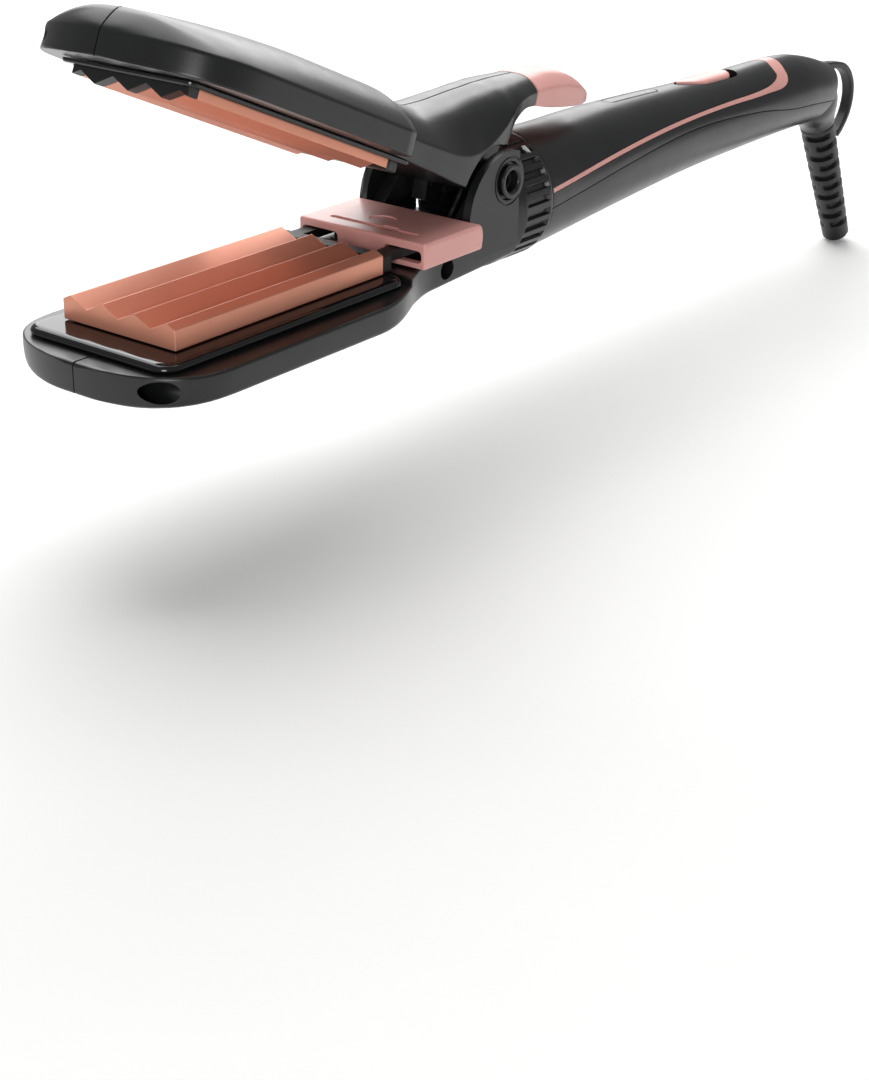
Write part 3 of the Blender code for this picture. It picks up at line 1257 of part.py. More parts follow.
def elbow_path():
    """Centre line of the elbow from the handle's rear opening to the boot."""
    a, b = swivel_axis(), boot_axis()
    points = [Vector((SWIVEL_X, 0, SWIVEL_Z)) + a * GAP]
    steps = 6
    length = 14.0
    for n in range(steps):
        t = (n + 0.5) / steps
        along = (a * (1 - t) + b * t).normalized()
        points.append(points[-1] + along * length / steps)
    return points


def bent_tube(name, centres, radii, bore, finish, frame, sides):
    """A thick tube through centres with its own radius at each, and a straight bore."""
    rings = []
    for n in range(sides):
        angle = 2 * math.pi * n / sides
        outer, inner = [], []
        for i, (centre, radius) in enumerate(zip(centres, radii)):
            before, after = centres[max(i - 1, 0)], centres[min(i + 1, len(centres) - 1)]
            along = (after - before).normalized()
            up = Vector((-along.z, 0, along.x))
            out = Vector((0, 1, 0)) * math.cos(angle) + up * math.sin(angle)
            outer.append(tuple(centre + out * radius))
            inner.append(tuple(centre + out * bore))
        rings.append(outer + list(reversed(inner)))
    return loft(name, rings, finish, frame, close_ends=False)


def swivel_pieces(frame, body_frame):
    """Elbow with its stalk and slip rings, the socket that holds it, the boot and the loop."""
    axis, down = swivel_axis(), boot_axis()
    origin = Vector((SWIVEL_X, 0, SWIVEL_Z))
    path = elbow_path()
    big = handle_radius(SWIVEL_X) - 0.8
    radii = [big + (BOOT_TOP_RADIUS + 0.1 - big) * share for share in (0, 0.03, 0.14, 0.36, 0.62, 0.86, 1)]
    bore = CORD_BORE + 0.2
    elbow = bent_tube("swivel_elbow", path, radii, bore, "satin_black", frame, 14)
    collar = STALK_RADIUS + 1.6
    stalk = [(-12.2, bore), (-12.2, STALK_RADIUS), (-8.2, STALK_RADIUS), (-8.2, collar), (-6.6, collar),
             (-6.6, STALK_RADIUS), (1.2, STALK_RADIUS), (1.2, bore)]
    add(elbow, turned("stalk", stalk, origin, axis, "satin_black", frame, 14))

    fit = STALK_RADIUS + GAP
    outer = handle_radius(SWIVEL_X) - SHELL - 0.5
    turned("swivel_socket", [(-6.3, fit), (-6.3, outer), (-1.6, outer), (-1.6, fit)], origin, axis,
           "satin_black", body_frame, 16)
    for n, name in enumerate(("slip_ring_line", "slip_ring_neutral")):
        s = -11.8 + n * 1.8
        ring = [(s, fit), (s, fit + 0.6), (s + 1.2, fit + 0.6), (s + 1.2, fit)]
        turned(name, ring, origin, axis, "brass", frame, 14)

    profile = [(0.0, CORD_BORE), (0.0, BOOT_TOP_RADIUS)]
    pitch = (BOOT_LENGTH - 6.0) / BOOT_RIBS
    for n in range(BOOT_RIBS):
        s = 1.5 + n * pitch
        r = BOOT_TOP_RADIUS + (BOOT_END_RADIUS - BOOT_TOP_RADIUS) * s / BOOT_LENGTH
        profile += [(s, r), (s + pitch * 0.3, r - RIB_DEPTH), (s + pitch * 0.6, r)]
    profile += [(BOOT_LENGTH, BOOT_END_RADIUS), (BOOT_LENGTH, CORD_BORE)]
    turned("strain_relief_boot", profile, path[-1] + down * GAP, down, "black_rubber", frame, 14)

    hanging_loop(frame)


def hanging_loop(frame):
    """Flat moulded loop behind the elbow, from its crown round to the boot."""
    line = [(11.0, 8.2), (17.0, 7.6), (23.0, 6.2), (27.6, 3.0), (30.2, -1.5), (30.6, -6.5), (28.8, -11.4),
            (25.0, -15.6), (22.4, -17.4)]
    centre = [Vector((SWIVEL_X + dx, SWIVEL_Z + dz)) for dx, dz in line]
    thickness, width = 1.2, 2.6
    rings = []
    for i, point in enumerate(centre):
        along = (centre[min(i + 1, len(centre) - 1)] - centre[max(i - 1, 0)]).normalized()
        out = Vector((-along.y, along.x))
        rings.append([(point.x + out.x * t, y, point.y + out.y * t) for t, y in
                      ((thickness, -width), (thickness, width), (-thickness, width), (-thickness, -width))])
    loft("hanging_loop", rings, "black_rubber", frame)


# ---------------------------------------------------------------- build

def main():
    clear_scene()
    frames = make_frames()
    lower_jaw_pieces(frames["body"])
    hinge_pieces(frames["body"])
    spigot_pieces(frames["body"])
    click_leaf(frames["body"])
    heater_lead(frames["body"])
    handle_pieces(frames["body"], frames["switch"])
    upper_jaw_pieces(frames["jaw"])
    insert_pieces(frames["insert"])
    latch_bar(frames["bar"])
    lock_ring(frames["ring"])
    lock_bolt(frames["bolt"])
    swivel_pieces(frames["swivel"], frames["body"])
    bpy.context.view_layer.update()


main()
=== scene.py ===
"""Finished surfaces of a hair crimper with a swing-over ridged plate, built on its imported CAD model.

Shapes are worked out in millimetres in the plate frame: x runs from the front edge of the heated
plates towards the handle, y across the tool, z up from the underside of the ridged insert plate.
The upper jaw is shaped with the jaws closed and turned open about the hinge when it is finished.
"""

import json
import math

import bmesh
import bpy
import numpy as np
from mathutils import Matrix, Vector


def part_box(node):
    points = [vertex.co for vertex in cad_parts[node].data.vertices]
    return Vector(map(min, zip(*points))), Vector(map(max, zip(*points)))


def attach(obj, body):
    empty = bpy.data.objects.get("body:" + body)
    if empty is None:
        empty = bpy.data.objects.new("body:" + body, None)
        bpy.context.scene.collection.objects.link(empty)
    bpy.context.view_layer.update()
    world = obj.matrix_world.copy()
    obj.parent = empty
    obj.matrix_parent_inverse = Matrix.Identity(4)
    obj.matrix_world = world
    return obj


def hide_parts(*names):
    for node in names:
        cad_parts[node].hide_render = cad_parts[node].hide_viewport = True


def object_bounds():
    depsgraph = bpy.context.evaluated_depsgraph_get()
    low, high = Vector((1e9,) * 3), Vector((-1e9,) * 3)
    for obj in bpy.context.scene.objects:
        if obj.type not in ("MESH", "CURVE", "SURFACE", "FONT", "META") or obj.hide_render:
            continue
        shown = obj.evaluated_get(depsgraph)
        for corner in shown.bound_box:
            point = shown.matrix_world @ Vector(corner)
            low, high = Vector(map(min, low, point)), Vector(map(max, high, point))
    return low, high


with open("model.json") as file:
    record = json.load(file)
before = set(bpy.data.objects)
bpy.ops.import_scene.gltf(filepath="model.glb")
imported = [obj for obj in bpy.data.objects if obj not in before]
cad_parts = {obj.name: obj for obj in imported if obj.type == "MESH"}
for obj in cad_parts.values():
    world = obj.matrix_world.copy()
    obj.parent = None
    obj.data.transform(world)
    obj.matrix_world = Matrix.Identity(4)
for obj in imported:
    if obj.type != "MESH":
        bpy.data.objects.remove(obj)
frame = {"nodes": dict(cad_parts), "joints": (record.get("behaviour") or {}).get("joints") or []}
CAD_BOX = [list(corner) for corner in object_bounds()]
MM = 0.001
insert_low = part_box("insert_plate")[0]
ORIGIN = np.array([insert_low.x, 0.0, insert_low.z])


def mm_box(name):
    """Lowest and highest corner of a CAD node in the plate frame, in millimetres."""
    low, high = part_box(name)
    return (np.array(low) - ORIGIN) / MM, (np.array(high) - ORIGIN) / MM


# ---------------------------------------------------------------- sizes, shared with the CAD model

GAP = 0.3
PLATE_LENGTH = mm_box("insert_plate")[1][0]
PLATE_HALF = mm_box("insert_plate")[1][1]
RIDGE_PITCH, RIDGE_HEIGHT, VALLEY_Z = 10.35, 2.5, 3.6
HINGE_X, HINGE_Z = (sum(mm_box("hinge_pin")) / 2)[[0, 2]]
HINGE = [joint for joint in frame["joints"] if joint["name"] == "jaw_hinge"][0]
OPEN = math.radians(abs(HINGE["range_deg"][0]))
OVER_OPEN = math.radians(2.5)
DECK_Z, NECK_DECK_Z, NECK_DECK_X = -2.6, -0.9, PLATE_LENGTH + 4.3
NOSE_X, UPPER_NOSE_X = mm_box("lower_casing_near")[0][0], -12.0
NOSE_LENGTH, PADDLE_HALF, NECK_HALF = 24.5, 29.9, 18.6
SWEEP = (PLATE_LENGTH - 14, PLATE_LENGTH + 21)
WALL = 2.0
SCREW_X = 98.4            # the screw across the neck
WINDOW_X, WINDOW_HALF = (5, PLATE_LENGTH - 8), 14         # heater opening behind each plate
EAR_X, EAR_Z, EAR_RADIUS = 0.3, 8.9, 16.9                 # arc's centre forward of and below the hinge
EAR_REAR, EAR_ROOT, EAR_FOOT_Z = 4.5, -18.2, -5.0
EAR_REAR_X = HINGE_X + EAR_REAR
EAR_INNER = NECK_HALF - 2.4
WEB_HALF = EAR_INNER - 4.8
BUSH_RADIUS, PIN_BORE = 4.6, 2.8
AXIS_Z = 2.4
BAR_LOW, BAR_HIGH = mm_box("latch_bar")
LATCH_POST_X, LATCH_POST_Y, POST_HEAD = 93.5, 2.5, 2.7
GUIDE_POST_X, GUIDE_POST_Y = 86.9, 7.2
RING_LOW, RING_HIGH = mm_box("lock_ring")
RING_RADIUS = (RING_HIGH[1] - RING_LOW[1]) / 2
RING_BORE = 12.8
HANDLE_X = RING_HIGH[0] + GAP
HANDLE_LENGTH = 177.4
SHELL = 2.0


# ---------------------------------------------------------------- camera, lights and floor

def make_camera():
    """The viewing angle: yaw from +Y towards +X, pitch down, a slight roll, in the plate frame."""
    yaw, pitch, roll = np.radians([52.368, 25.097, 0.623])
    place = ORIGIN + np.array([-299.87, -322.43, 152.81]) * MM
    forward = np.array([np.sin(yaw) * np.cos(pitch), np.cos(yaw) * np.cos(pitch), -np.sin(pitch)])
    right = np.array([np.cos(yaw), -np.sin(yaw), 0.0])
    up = np.cross(right, forward)
    tilted = right * np.cos(roll) + up * np.sin(roll)
    upright = up * np.cos(roll) - right * np.sin(roll)
    data = bpy.data.cameras.new("view")
    data.lens = 67.21
    data.sensor_width = 36.0
    data.clip_start = 0.01
    camera = bpy.data.objects.new("view", data)
    bpy.context.scene.collection.objects.link(camera)
    matrix = np.eye(4)
    matrix[:3, 0], matrix[:3, 1], matrix[:3, 2], matrix[:3, 3] = tilted, upright, -forward, place
    camera.matrix_world = [list(row) for row in matrix.T]
    bpy.context.scene.camera = camera


def soft_light(name, place, aim, size, watts):
    """A square soft box at place, turned to face aim, both in metres."""
    data = bpy.data.lights.new(name, "AREA")
    data.shape = "SQUARE"
    data.size = size
    data.energy = watts
    light = bpy.data.objects.new(name, data)
    bpy.context.scene.collection.objects.link(light)
    light.location = place
    light.rotation_euler = (Vector(aim) - Vector(place)).to_track_quat("-Z", "Y").to_euler()


# ---------------------------------------------------------------- materials

def linear(code):
    """Linear colour from an sRGB hex code."""
    values = [int(code[i:i + 2], 16) / 255 for i in (1, 3, 5)]
    return [v / 12.92 if v <= 0.04045 else ((v + 0.055) / 1.055) ** 2.4 for v in values] + [1.0]


def node(tree, kind, inputs=None, **settings):
    """Add one node with its settings; an input given as a socket is linked, any other is set."""
    made = tree.nodes.new(kind)
    for key, value in settings.items():
        setattr(made, key, value)
    for key, value in (inputs or {}).items():
        if isinstance(value, bpy.types.NodeSocket):
            tree.links.new(value, made.inputs[key])
        else:
            made.inputs[key].default_value = value
    return made


def per_mm(size):
    """Texture scale whose features are about size millimetres on Object coordinates."""
    return 1.0 / (size * MM)


def surface_finish(name, shades, rough, patch, grain, depth, streak=(1.0, 1.0, 1.0), **shader):
    """A procedural finish: patchy colour between two shades, patchy roughness, and a fine grain.

    patch and grain are sizes in millimetres, depth is the grain's height in millimetres, streak
    stretches the patches, and shader holds constants for the Principled BSDF.
    """
    made = bpy.data.materials.new(name)
    made.use_nodes = True
    tree = made.node_tree
    tree.nodes.clear()
    place = node(tree, "ShaderNodeTexCoord").outputs["Object"]
    stretched = node(tree, "ShaderNodeMapping", {"Vector": place, "Scale": streak}).outputs["Vector"]
    patches = node(tree, "ShaderNodeTexNoise", {"Vector": stretched, "Scale": per_mm(patch), "Detail": 4.0,
                                                "Roughness": 0.55})
    ramp = node(tree, "ShaderNodeMapRange", {"Value": patches.outputs["Fac"], "From Min": 0.3,
                                             "From Max": 0.7})
    # sockets by number: 0 is the factor, 6 and 7 the two colours, output 2 the mixed colour
    colour = node(tree, "ShaderNodeMix", {0: ramp.outputs["Result"], 6: linear(shades[0]),
                                          7: linear(shades[1])}, data_type="RGBA")
    wear = node(tree, "ShaderNodeTexNoise", {"Vector": stretched, "Scale": per_mm(patch * 0.37),
                                             "Detail": 3.0})
    roughness = node(tree, "ShaderNodeMapRange", {"Value": wear.outputs["Fac"], "From Min": 0.25,
                                                  "From Max": 0.75, "To Min": rough[0], "To Max": rough[1]})
    grains = node(tree, "ShaderNodeTexNoise", {"Vector": place, "Scale": per_mm(grain), "Detail": 2.0})
    bump = node(tree, "ShaderNodeBump", {"Height": grains.outputs["Fac"], "Distance": depth * MM,
                                         "Strength": 1.0})
    constants = {key.replace("_", " "): value for key, value in shader.items()}
    bsdf = node(tree, "ShaderNodeBsdfPrincipled", {"Base Color": colour.outputs[2],
                                                   "Roughness": roughness.outputs["Result"],
                                                   "Normal": bump.outputs["Normal"], **constants})
    out = node(tree, "ShaderNodeOutputMaterial")
    tree.links.new(bsdf.outputs["BSDF"], out.inputs["Surface"])
    return made


def make_finishes():
    """Every finish by the record's material slot, plus the floor."""
    return {
        # moulded ABS with a fine spark-eroded grain: soft grey sheen, slightly uneven gloss
        "satin_black": surface_finish("Satin moulded ABS", ("#141515", "#181a1a"), (0.27, 0.34), 16.0, 0.5,
                                      0.006, IOR=1.5),
        # polished moulding: hard mirror highlights with very faint flow marks
        "gloss_black": surface_finish("Polished black moulding", ("#0f1010", "#131414"), (0.09, 0.14), 22.0,
                                      1.6, 0.002, IOR=1.5),
        # satin lacquered moulding in rose: warm, even, with a soft highlight
        "rose_plastic": surface_finish("Rose lacquered moulding", ("#dc9e96", "#e2a7a0"), (0.27, 0.33), 14.0,
                                       0.6, 0.004, IOR=1.5),
        # ceramic coat over aluminium, slightly pearly, faint drag marks along the plates
        "copper_coat": surface_finish("Copper ceramic coat", ("#de947a", "#e29a80"), (0.3, 0.34), 30.0, 0.7,
                                      0.003, (0.4, 1.0, 1.0), Metallic=0.45),
        # drawn and turned steel with fine lengthways scratches
        "steel": surface_finish("Bright drawn steel", ("#9a9a9c", "#b4b4b6"), (0.24, 0.38), 5.0, 0.4, 0.004,
                                (1.0, 0.2, 1.0), Metallic=1.0),
        # oxide-blackened steel: dull dark metal
        "black_steel": surface_finish("Blackened steel", ("#0e0e0e", "#141414"), (0.52, 0.62), 5.0, 0.4,
                                      0.005, Metallic=0.1),
        # turned brass contact rings: bright yellow metal
        "brass": surface_finish("Turned brass", ("#b48a45", "#c79d58"), (0.22, 0.34), 4.0, 0.4, 0.003,
                                Metallic=1.0),
        # dry pressed ceramic heater: chalky and matt
        "ceramic": surface_finish("Pressed heater ceramic", ("#d8d5cd", "#e4e1da"), (0.55, 0.7), 6.0, 0.5,
                                  0.02),
        # lacquered circuit board: glassy green
        "board_green": surface_finish("Lacquered circuit board", ("#1c5230", "#236039"), (0.3, 0.45), 3.0,
                                      0.8, 0.02),
        # smoked clear plastic: grey, lets a little light through
        "clear_window": surface_finish("Smoked window", ("#565958", "#606362"), (0.3, 0.36), 8.0, 1.5, 0.001,
                                       IOR=1.49, Transmission_Weight=0.25),
        # milky light diffuser: white with a soft gloss
        "led_white": surface_finish("Milky diffuser", ("#dfe2de", "#eceee9"), (0.2, 0.3), 2.0, 0.5, 0.002),
        # matt moulded rubber with a dusty bloom
        "black_rubber": surface_finish("Moulded rubber", ("#0d0e0e", "#121313"), (0.42, 0.52), 7.0, 0.4,
                                       0.012, Sheen_Weight=0.04, Sheen_Roughness=0.5),
        # braided and silicone-dipped sleeve: off-white and dull
        "lead_sleeve": surface_finish("Dipped glass sleeve", ("#cfcfca", "#dbdbd6"), (0.6, 0.75), 1.2, 0.4,
                                      0.03),
        # painted studio sweep: even, near white
        "floor": surface_finish("Painted studio floor", ("#f4f4f3", "#f7f7f6"), (0.7, 0.8), 160.0, 3.0,
                                0.02),
    }


# ---------------------------------------------------------------- shaping tools

def skin(parts):
    """Points and faces of closed skins. A part is (grid, looped): grid is rows x points x 3, each row
    runs round the skin, and the end rows are capped or, when looped, joined to each other."""
    points, faces, base = [], [], 0
    for grid, looped in parts:
        rows, count = grid.shape[:2]
        index = np.arange(rows * count).reshape(rows, count) + base
        low = index if looped else index[:-1]
        high = np.roll(index, -1, axis=0) if looped else index[1:]
        quads = np.stack([low, np.roll(low, -1, axis=1), np.roll(high, -1, axis=1), high], axis=-1)
        faces += quads.reshape(-1, 4).tolist()
        if not looped:
            faces += [index[0][::-1].tolist(), index[-1].tolist()]
        points.append(grid.reshape(-1, 3))
        base += rows * count
    return np.concatenate(points), faces


def build(name, *parts):
    """An object in plate-frame millimetres from one or more (grid, looped) skins, facing outwards."""
    points, faces = skin(parts)
    mesh = bpy.data.meshes.new(name)
    mesh.from_pydata(points.tolist(), [], faces)
    shape = bmesh.new()
    shape.from_mesh(mesh)
    bmesh.ops.recalc_face_normals(shape, faces=shape.faces)
    shape.to_mesh(mesh)
    shape.free()
    piece = bpy.data.objects.new(name, mesh)
    bpy.context.scene.collection.objects.link(piece)
    return piece


def carve(piece, *cutters, folded=False):
    """Take the cutters away from the piece; folded allows a cutter that touches itself."""
    for cutter in cutters:
        step = piece.modifiers.new("step", "BOOLEAN")
        step.operation = "DIFFERENCE"
        step.solver = "EXACT"
        step.use_self = folded
        step.object = cutter
        bpy.context.view_layer.update()
        current = piece.evaluated_get(bpy.context.evaluated_depsgraph_get())
        result = bpy.data.meshes.new_from_object(current)
        piece.modifiers.clear()
        piece.data = result
        bpy.data.objects.remove(cutter, do_unlink=True)
    return piece


def join(piece, *others):
    """Put the skins of other objects into the piece."""
    shape = bmesh.new()
    shape.from_mesh(piece.data)
    for other in others:
        shape.from_mesh(other.data)
        bpy.data.objects.remove(other, do_unlink=True)
    shape.to_mesh(piece.data)
    shape.free()
    return piece


def rounded(corners, cut, steps=3):
    """Round every corner of closed outlines (... x corners x axes): a quadratic curve from cut
    millimetres before the corner to cut after it, never past 0.45 of an edge."""
    corners = np.asarray(corners, float)
    cut = np.broadcast_to(np.asarray(cut, float), corners.shape[:-1])[..., None]
    back = np.roll(corners, 1, axis=-2) - corners
    ahead = np.roll(corners, -1, axis=-2) - corners
    back_length = np.maximum(np.linalg.norm(back, axis=-1, keepdims=True), 1e-6)
    ahead_length = np.maximum(np.linalg.norm(ahead, axis=-1, keepdims=True), 1e-6)
    start = corners + back / back_length * np.minimum(cut, 0.45 * back_length)
    stop = corners + ahead / ahead_length * np.minimum(cut, 0.45 * ahead_length)
    t = np.linspace(0, 1, steps + 1)[:, None]
    start, middle, stop = start[..., None, :], corners[..., None, :], stop[..., None, :]
    curve = (1 - t) ** 2 * start + 2 * t * (1 - t) * middle + t ** 2 * stop
    return curve.reshape(*corners.shape[:-2], -1, corners.shape[-1])


def curve_through(rows, x):
    """Catmull-Rom curve through rows (first column increasing), at the values x: all columns."""
    rows = np.asarray(rows, float)
    x = np.clip(np.asarray(x, float), rows[0, 0], rows[-1, 0])
    i = np.clip(np.searchsorted(rows[:, 0], x, side="right") - 1, 0, len(rows) - 2)
    span = rows[i + 1, 0] - rows[i, 0]
    t = ((x - rows[i, 0]) / span)[:, None]

    def slope(n):
        """Slope at row n between the rows on its two sides, for one span."""
        a, b = np.maximum(n - 1, 0), np.minimum(n + 1, len(rows) - 1)
        return (rows[b] - rows[a]) / (rows[b, 0] - rows[a, 0])[:, None] * span[:, None]

    return ((2 * t**3 - 3 * t**2 + 1) * rows[i] + (t**3 - 2 * t**2 + t) * slope(i)
            + (3 * t**2 - 2 * t**3) * rows[i + 1] + (t**3 - t**2) * slope(i + 1))


def refined(rows, per=4):
    """Rows resampled per times finer along a Catmull-Rom curve that counts them 0, 1, 2..."""
    rows = np.asarray(rows, float)
    numbered = np.column_stack([np.arange(len(rows)), rows])
    return curve_through(numbered, np.linspace(0, len(rows) - 1, (len(rows) - 1) * per + 1))[:, 1:]


def lathe(profile, origin, axis, around=48, looped=True):
    """Profile points (distance along axis, radius) turned about an axis through origin."""
    profile = np.asarray(profile, float)
    axis = np.asarray(axis, float) / np.linalg.norm(axis)
    helper = np.array([0.0, 1.0, 0.0]) if abs(axis[1]) < 0.9 else np.array([0.0, 0.0, 1.0])
    side = np.cross(axis, helper)
    side /= np.linalg.norm(side)
    up = np.cross(axis, side)
    angle = np.linspace(0, 2 * np.pi, around, endpoint=False)
    out = np.cos(angle)[:, None] * side + np.sin(angle)[:, None] * up
    return np.asarray(origin) + profile[:, None, :1] * axis + profile[:, None, 1:] * out, looped


def drum(origin, axis, length, radius, around=48):
    """A plain cylinder that starts at origin, used as a cutter."""
    return lathe([(0, radius), (length, radius)], origin, axis, around, False)


def block(low, high):
    """A plain block between two corners, used as a cutter."""
    (x0, y0, z0), (x1, y1, z1) = low, high
    ring = np.array([(y0, z0), (y1, z0), (y1, z1), (y0, z1)], float)
    return np.stack([np.column_stack([np.full(4, x), ring]) for x in (x0, x1)]), False


def side_block(side, x0, x1, reach, z0, z1):
    """A cutter for one half of a jaw: from 1 mm past the seam out to reach on that side."""
    y0, y1 = sorted((-side, side * reach))
    return block((x0, y0, z0), (x1, y1, z1))


def across(outline, ys, insets=None):
    """An x-z outline carried across the tool through the places ys, shrunk by insets about its middle."""
    outline = np.asarray(outline, float)
    middle = (outline.min(0) + outline.max(0)) / 2
    half = (outline.max(0) - outline.min(0)) / 2
    insets = np.zeros(len(ys)) if insets is None else np.asarray(insets, float)
    scale = 1 - insets[:, None, None] / half
    flat = middle + (outline - middle) * scale
    return np.stack([flat[..., 0], np.broadcast_to(np.asarray(ys, float)[:, None], flat.shape[:2]),
                     flat[..., 1]], axis=-1), False


def along(outline, xs, insets=None):
    """A y-z outline carried along the tool through the places xs, shrunk by insets about its middle."""
    grid, looped = across(outline, xs, insets)
    return grid[..., [1, 0, 2]], looped


def edge_places(start, stop, edge, steps=3):
    """Places from start to stop with a quarter-round edge at both ends, and the inset at each."""
    angle = np.linspace(0, np.pi / 2, steps + 1)
    run, inset = edge * (1 - np.cos(angle)), edge * (1 - np.sin(angle))
    return np.concatenate([start + run, stop - run[::-1]]), np.concatenate([inset, inset[::-1]])


def plan(x0, x1, half, radius, steps=8):
    """Plan outline (x, y) of a rectangle with round corners."""
    angle = np.radians(np.linspace(0, 90, steps + 1))
    centres = [(x1 - radius, half - radius), (x0 + radius, half - radius), (x0 + radius, radius - half),
               (x1 - radius, radius - half)]
    parts = [np.column_stack([cx + radius * np.cos(angle + n * np.pi / 2),
                              cy + radius * np.sin(angle + n * np.pi / 2)])
             for n, (cx, cy) in enumerate(centres)]
    return np.concatenate(parts)


def layers(levels):
    """Plan outlines stacked up: a level is (x0, x1, half width, corner radius, z)."""
    flats = [(plan(*level[:4]), level[4]) for level in levels]
    return np.stack([np.column_stack([flat, np.full(len(flat), z)]) for flat, z in flats])


def slab(x0, x1, half, z0, z1, radius, edge, steps=3):
    """A plate with round corners in plan and quarter-round upper and lower edges."""
    zs, insets = edge_places(z0, z1, edge, steps)
    return layers([(x0 + i, x1 - i, half - i, max(radius - i, 0.05), z) for z, i in zip(zs, insets)]), False


def pocket(x0, x1, y, half, z, height, corner=9.0):
    """A cutter about the place y, with round ends unless a smaller corner radius is given."""
    corner = min(corner, half - 0.01, (x1 - x0) / 2 - 0.01)
    grid = layers([(x0, x1, half, corner, level) for level in (z, z + height)])
    return grid + np.array([0.0, y, 0.0]), False


FINISHES = make_finishes()


def dress(piece, finish, body, *nodes, opened=False, crease=30):
    """Finish a piece: turn it open, place it in the row frame, shade it, parent it to its body's empty and
    hide the CAD nodes that it replaces.
    """
    mesh = piece.data
    points = np.empty(len(mesh.vertices) * 3, np.float32)
    mesh.vertices.foreach_get("co", points)
    points = points.reshape(-1, 3).astype(float)
    if opened:
        points = opened_up(points)
    mesh.vertices.foreach_set("co", (points * MM + ORIGIN).astype(np.float32).ravel())
    mesh.materials.clear()
    mesh.materials.append(FINISHES[finish])
    mesh.shade_smooth()
    mesh.set_sharp_from_angle(angle=math.radians(crease))
    mesh.update()
    weigh = piece.modifiers.new("weigh", "WEIGHTED_NORMAL")
    weigh.keep_sharp = True
    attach(piece, body)
    if nodes:
        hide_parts(*nodes)
    return piece


# ---------------------------------------------------------------- shapes shared by both jaws

def opened_up(points):
    """Turn plate-frame points about the hinge so that the front of the upper jaw lifts."""
    c, s = math.cos(OPEN), math.sin(OPEN)
    dx, dz = points[..., 0] - HINGE_X, points[..., 2] - HINGE_Z
    return np.stack([HINGE_X + c * dx + s * dz, points[..., 1], HINGE_Z - s * dx + c * dz], axis=-1)


def nose_width(x, nose_x, half):
    """Half width of a blunt nose: half * (1 - u cubed) to the power 0.4545, u falling from 1 to 0."""
    u = np.clip((nose_x + NOSE_LENGTH - x) / NOSE_LENGTH, 0, 1)
    return np.maximum(half * (1 - u**3) ** 0.4545, 1.5)


def nose_edge(x, nose_x, edge):
    """Inset of a quarter-round front edge: edge minus the circle's height at this depth."""
    depth = np.clip((x - nose_x) / edge, 0, 1)
    return edge * (1 - np.sqrt(np.maximum(1 - (1 - depth) ** 2, 0)))


# ---------------------------------------------------------------- lower jaw

def lower_section(x, side, seam, inset):
    """Half cross-sections of the lower jaw: deck, wall, chamfered belly and the seam between halves.
    The width falls from paddle to neck as half a cosine wave; the belly hangs below its foot by a
    quarter sine that grows over 16 mm at the nose times one that dies over 26 mm at the tail."""
    t = np.clip((x - SWEEP[0]) / (SWEEP[1] - SWEEP[0]), 0, 1)
    sweep = (PADDLE_HALF - NECK_HALF) * (1 - np.cos(np.pi * t)) / 2
    width = np.where(t > 0, PADDLE_HALF - sweep, nose_width(x, NOSE_X, PADDLE_HALF))
    width = width - np.where(x < NOSE_X + 1, 0, inset)
    step = np.clip((x - NECK_DECK_X) / 0.5, 0, 1)
    top = DECK_Z + (NECK_DECK_Z - DECK_Z) * step - inset
    rise = np.clip((x - PLATE_LENGTH - 13) / (EAR_REAR_X - PLATE_LENGTH - 13), 0, 1)
    foot = -10.0 + 2.2 * rise
    nose, tail = (np.clip(run, 0.06, 1) * np.pi / 2 for run in ((x - NOSE_X) / 16,
                                                                (PLATE_LENGTH + 19 - x) / 26))
    belly = 3.4
    deep = foot - belly * np.sin(nose) * np.sin(tail) + inset
    foot = foot + inset
    flat = np.minimum(10.0, width * 0.5)
    outline = [(seam + 0 * x, top), (width * 0.5, top), (width, top), (width, (top + foot) / 2),
               (width - 0.5, foot + 0.7), (width * 0.8 + flat * 0.2, foot * 0.82 + deep * 0.18),
               (width * 0.45 + flat * 0.55, foot * 0.25 + deep * 0.75), (flat, deep), (seam + 0 * x, deep)]
    corners = np.stack([np.stack([x, side * y, z], axis=-1) for y, z in outline], axis=1)
    return rounded(corners, [0.3, 5.0, 0.9, 3.0, 1.6, 4.0, 5.0, 3.0, 0.3], 4)


def ear_outline(clearance, samples=72):
    """Ear seen from the side: an arc about its centre, cut off by the flat rear plane."""
    centre = np.array([HINGE_X - EAR_X, HINGE_Z - EAR_Z])
    radius, rear = EAR_RADIUS + clearance, EAR_REAR_X + clearance
    angle = np.linspace(math.acos((rear - centre[0]) / radius), math.pi * 1.08, samples)
    arc = centre + radius * np.column_stack([np.cos(angle), np.sin(angle)])
    return np.concatenate([arc, [(centre[0] - radius * 0.93, EAR_FOOT_Z), (rear, EAR_FOOT_Z)]])


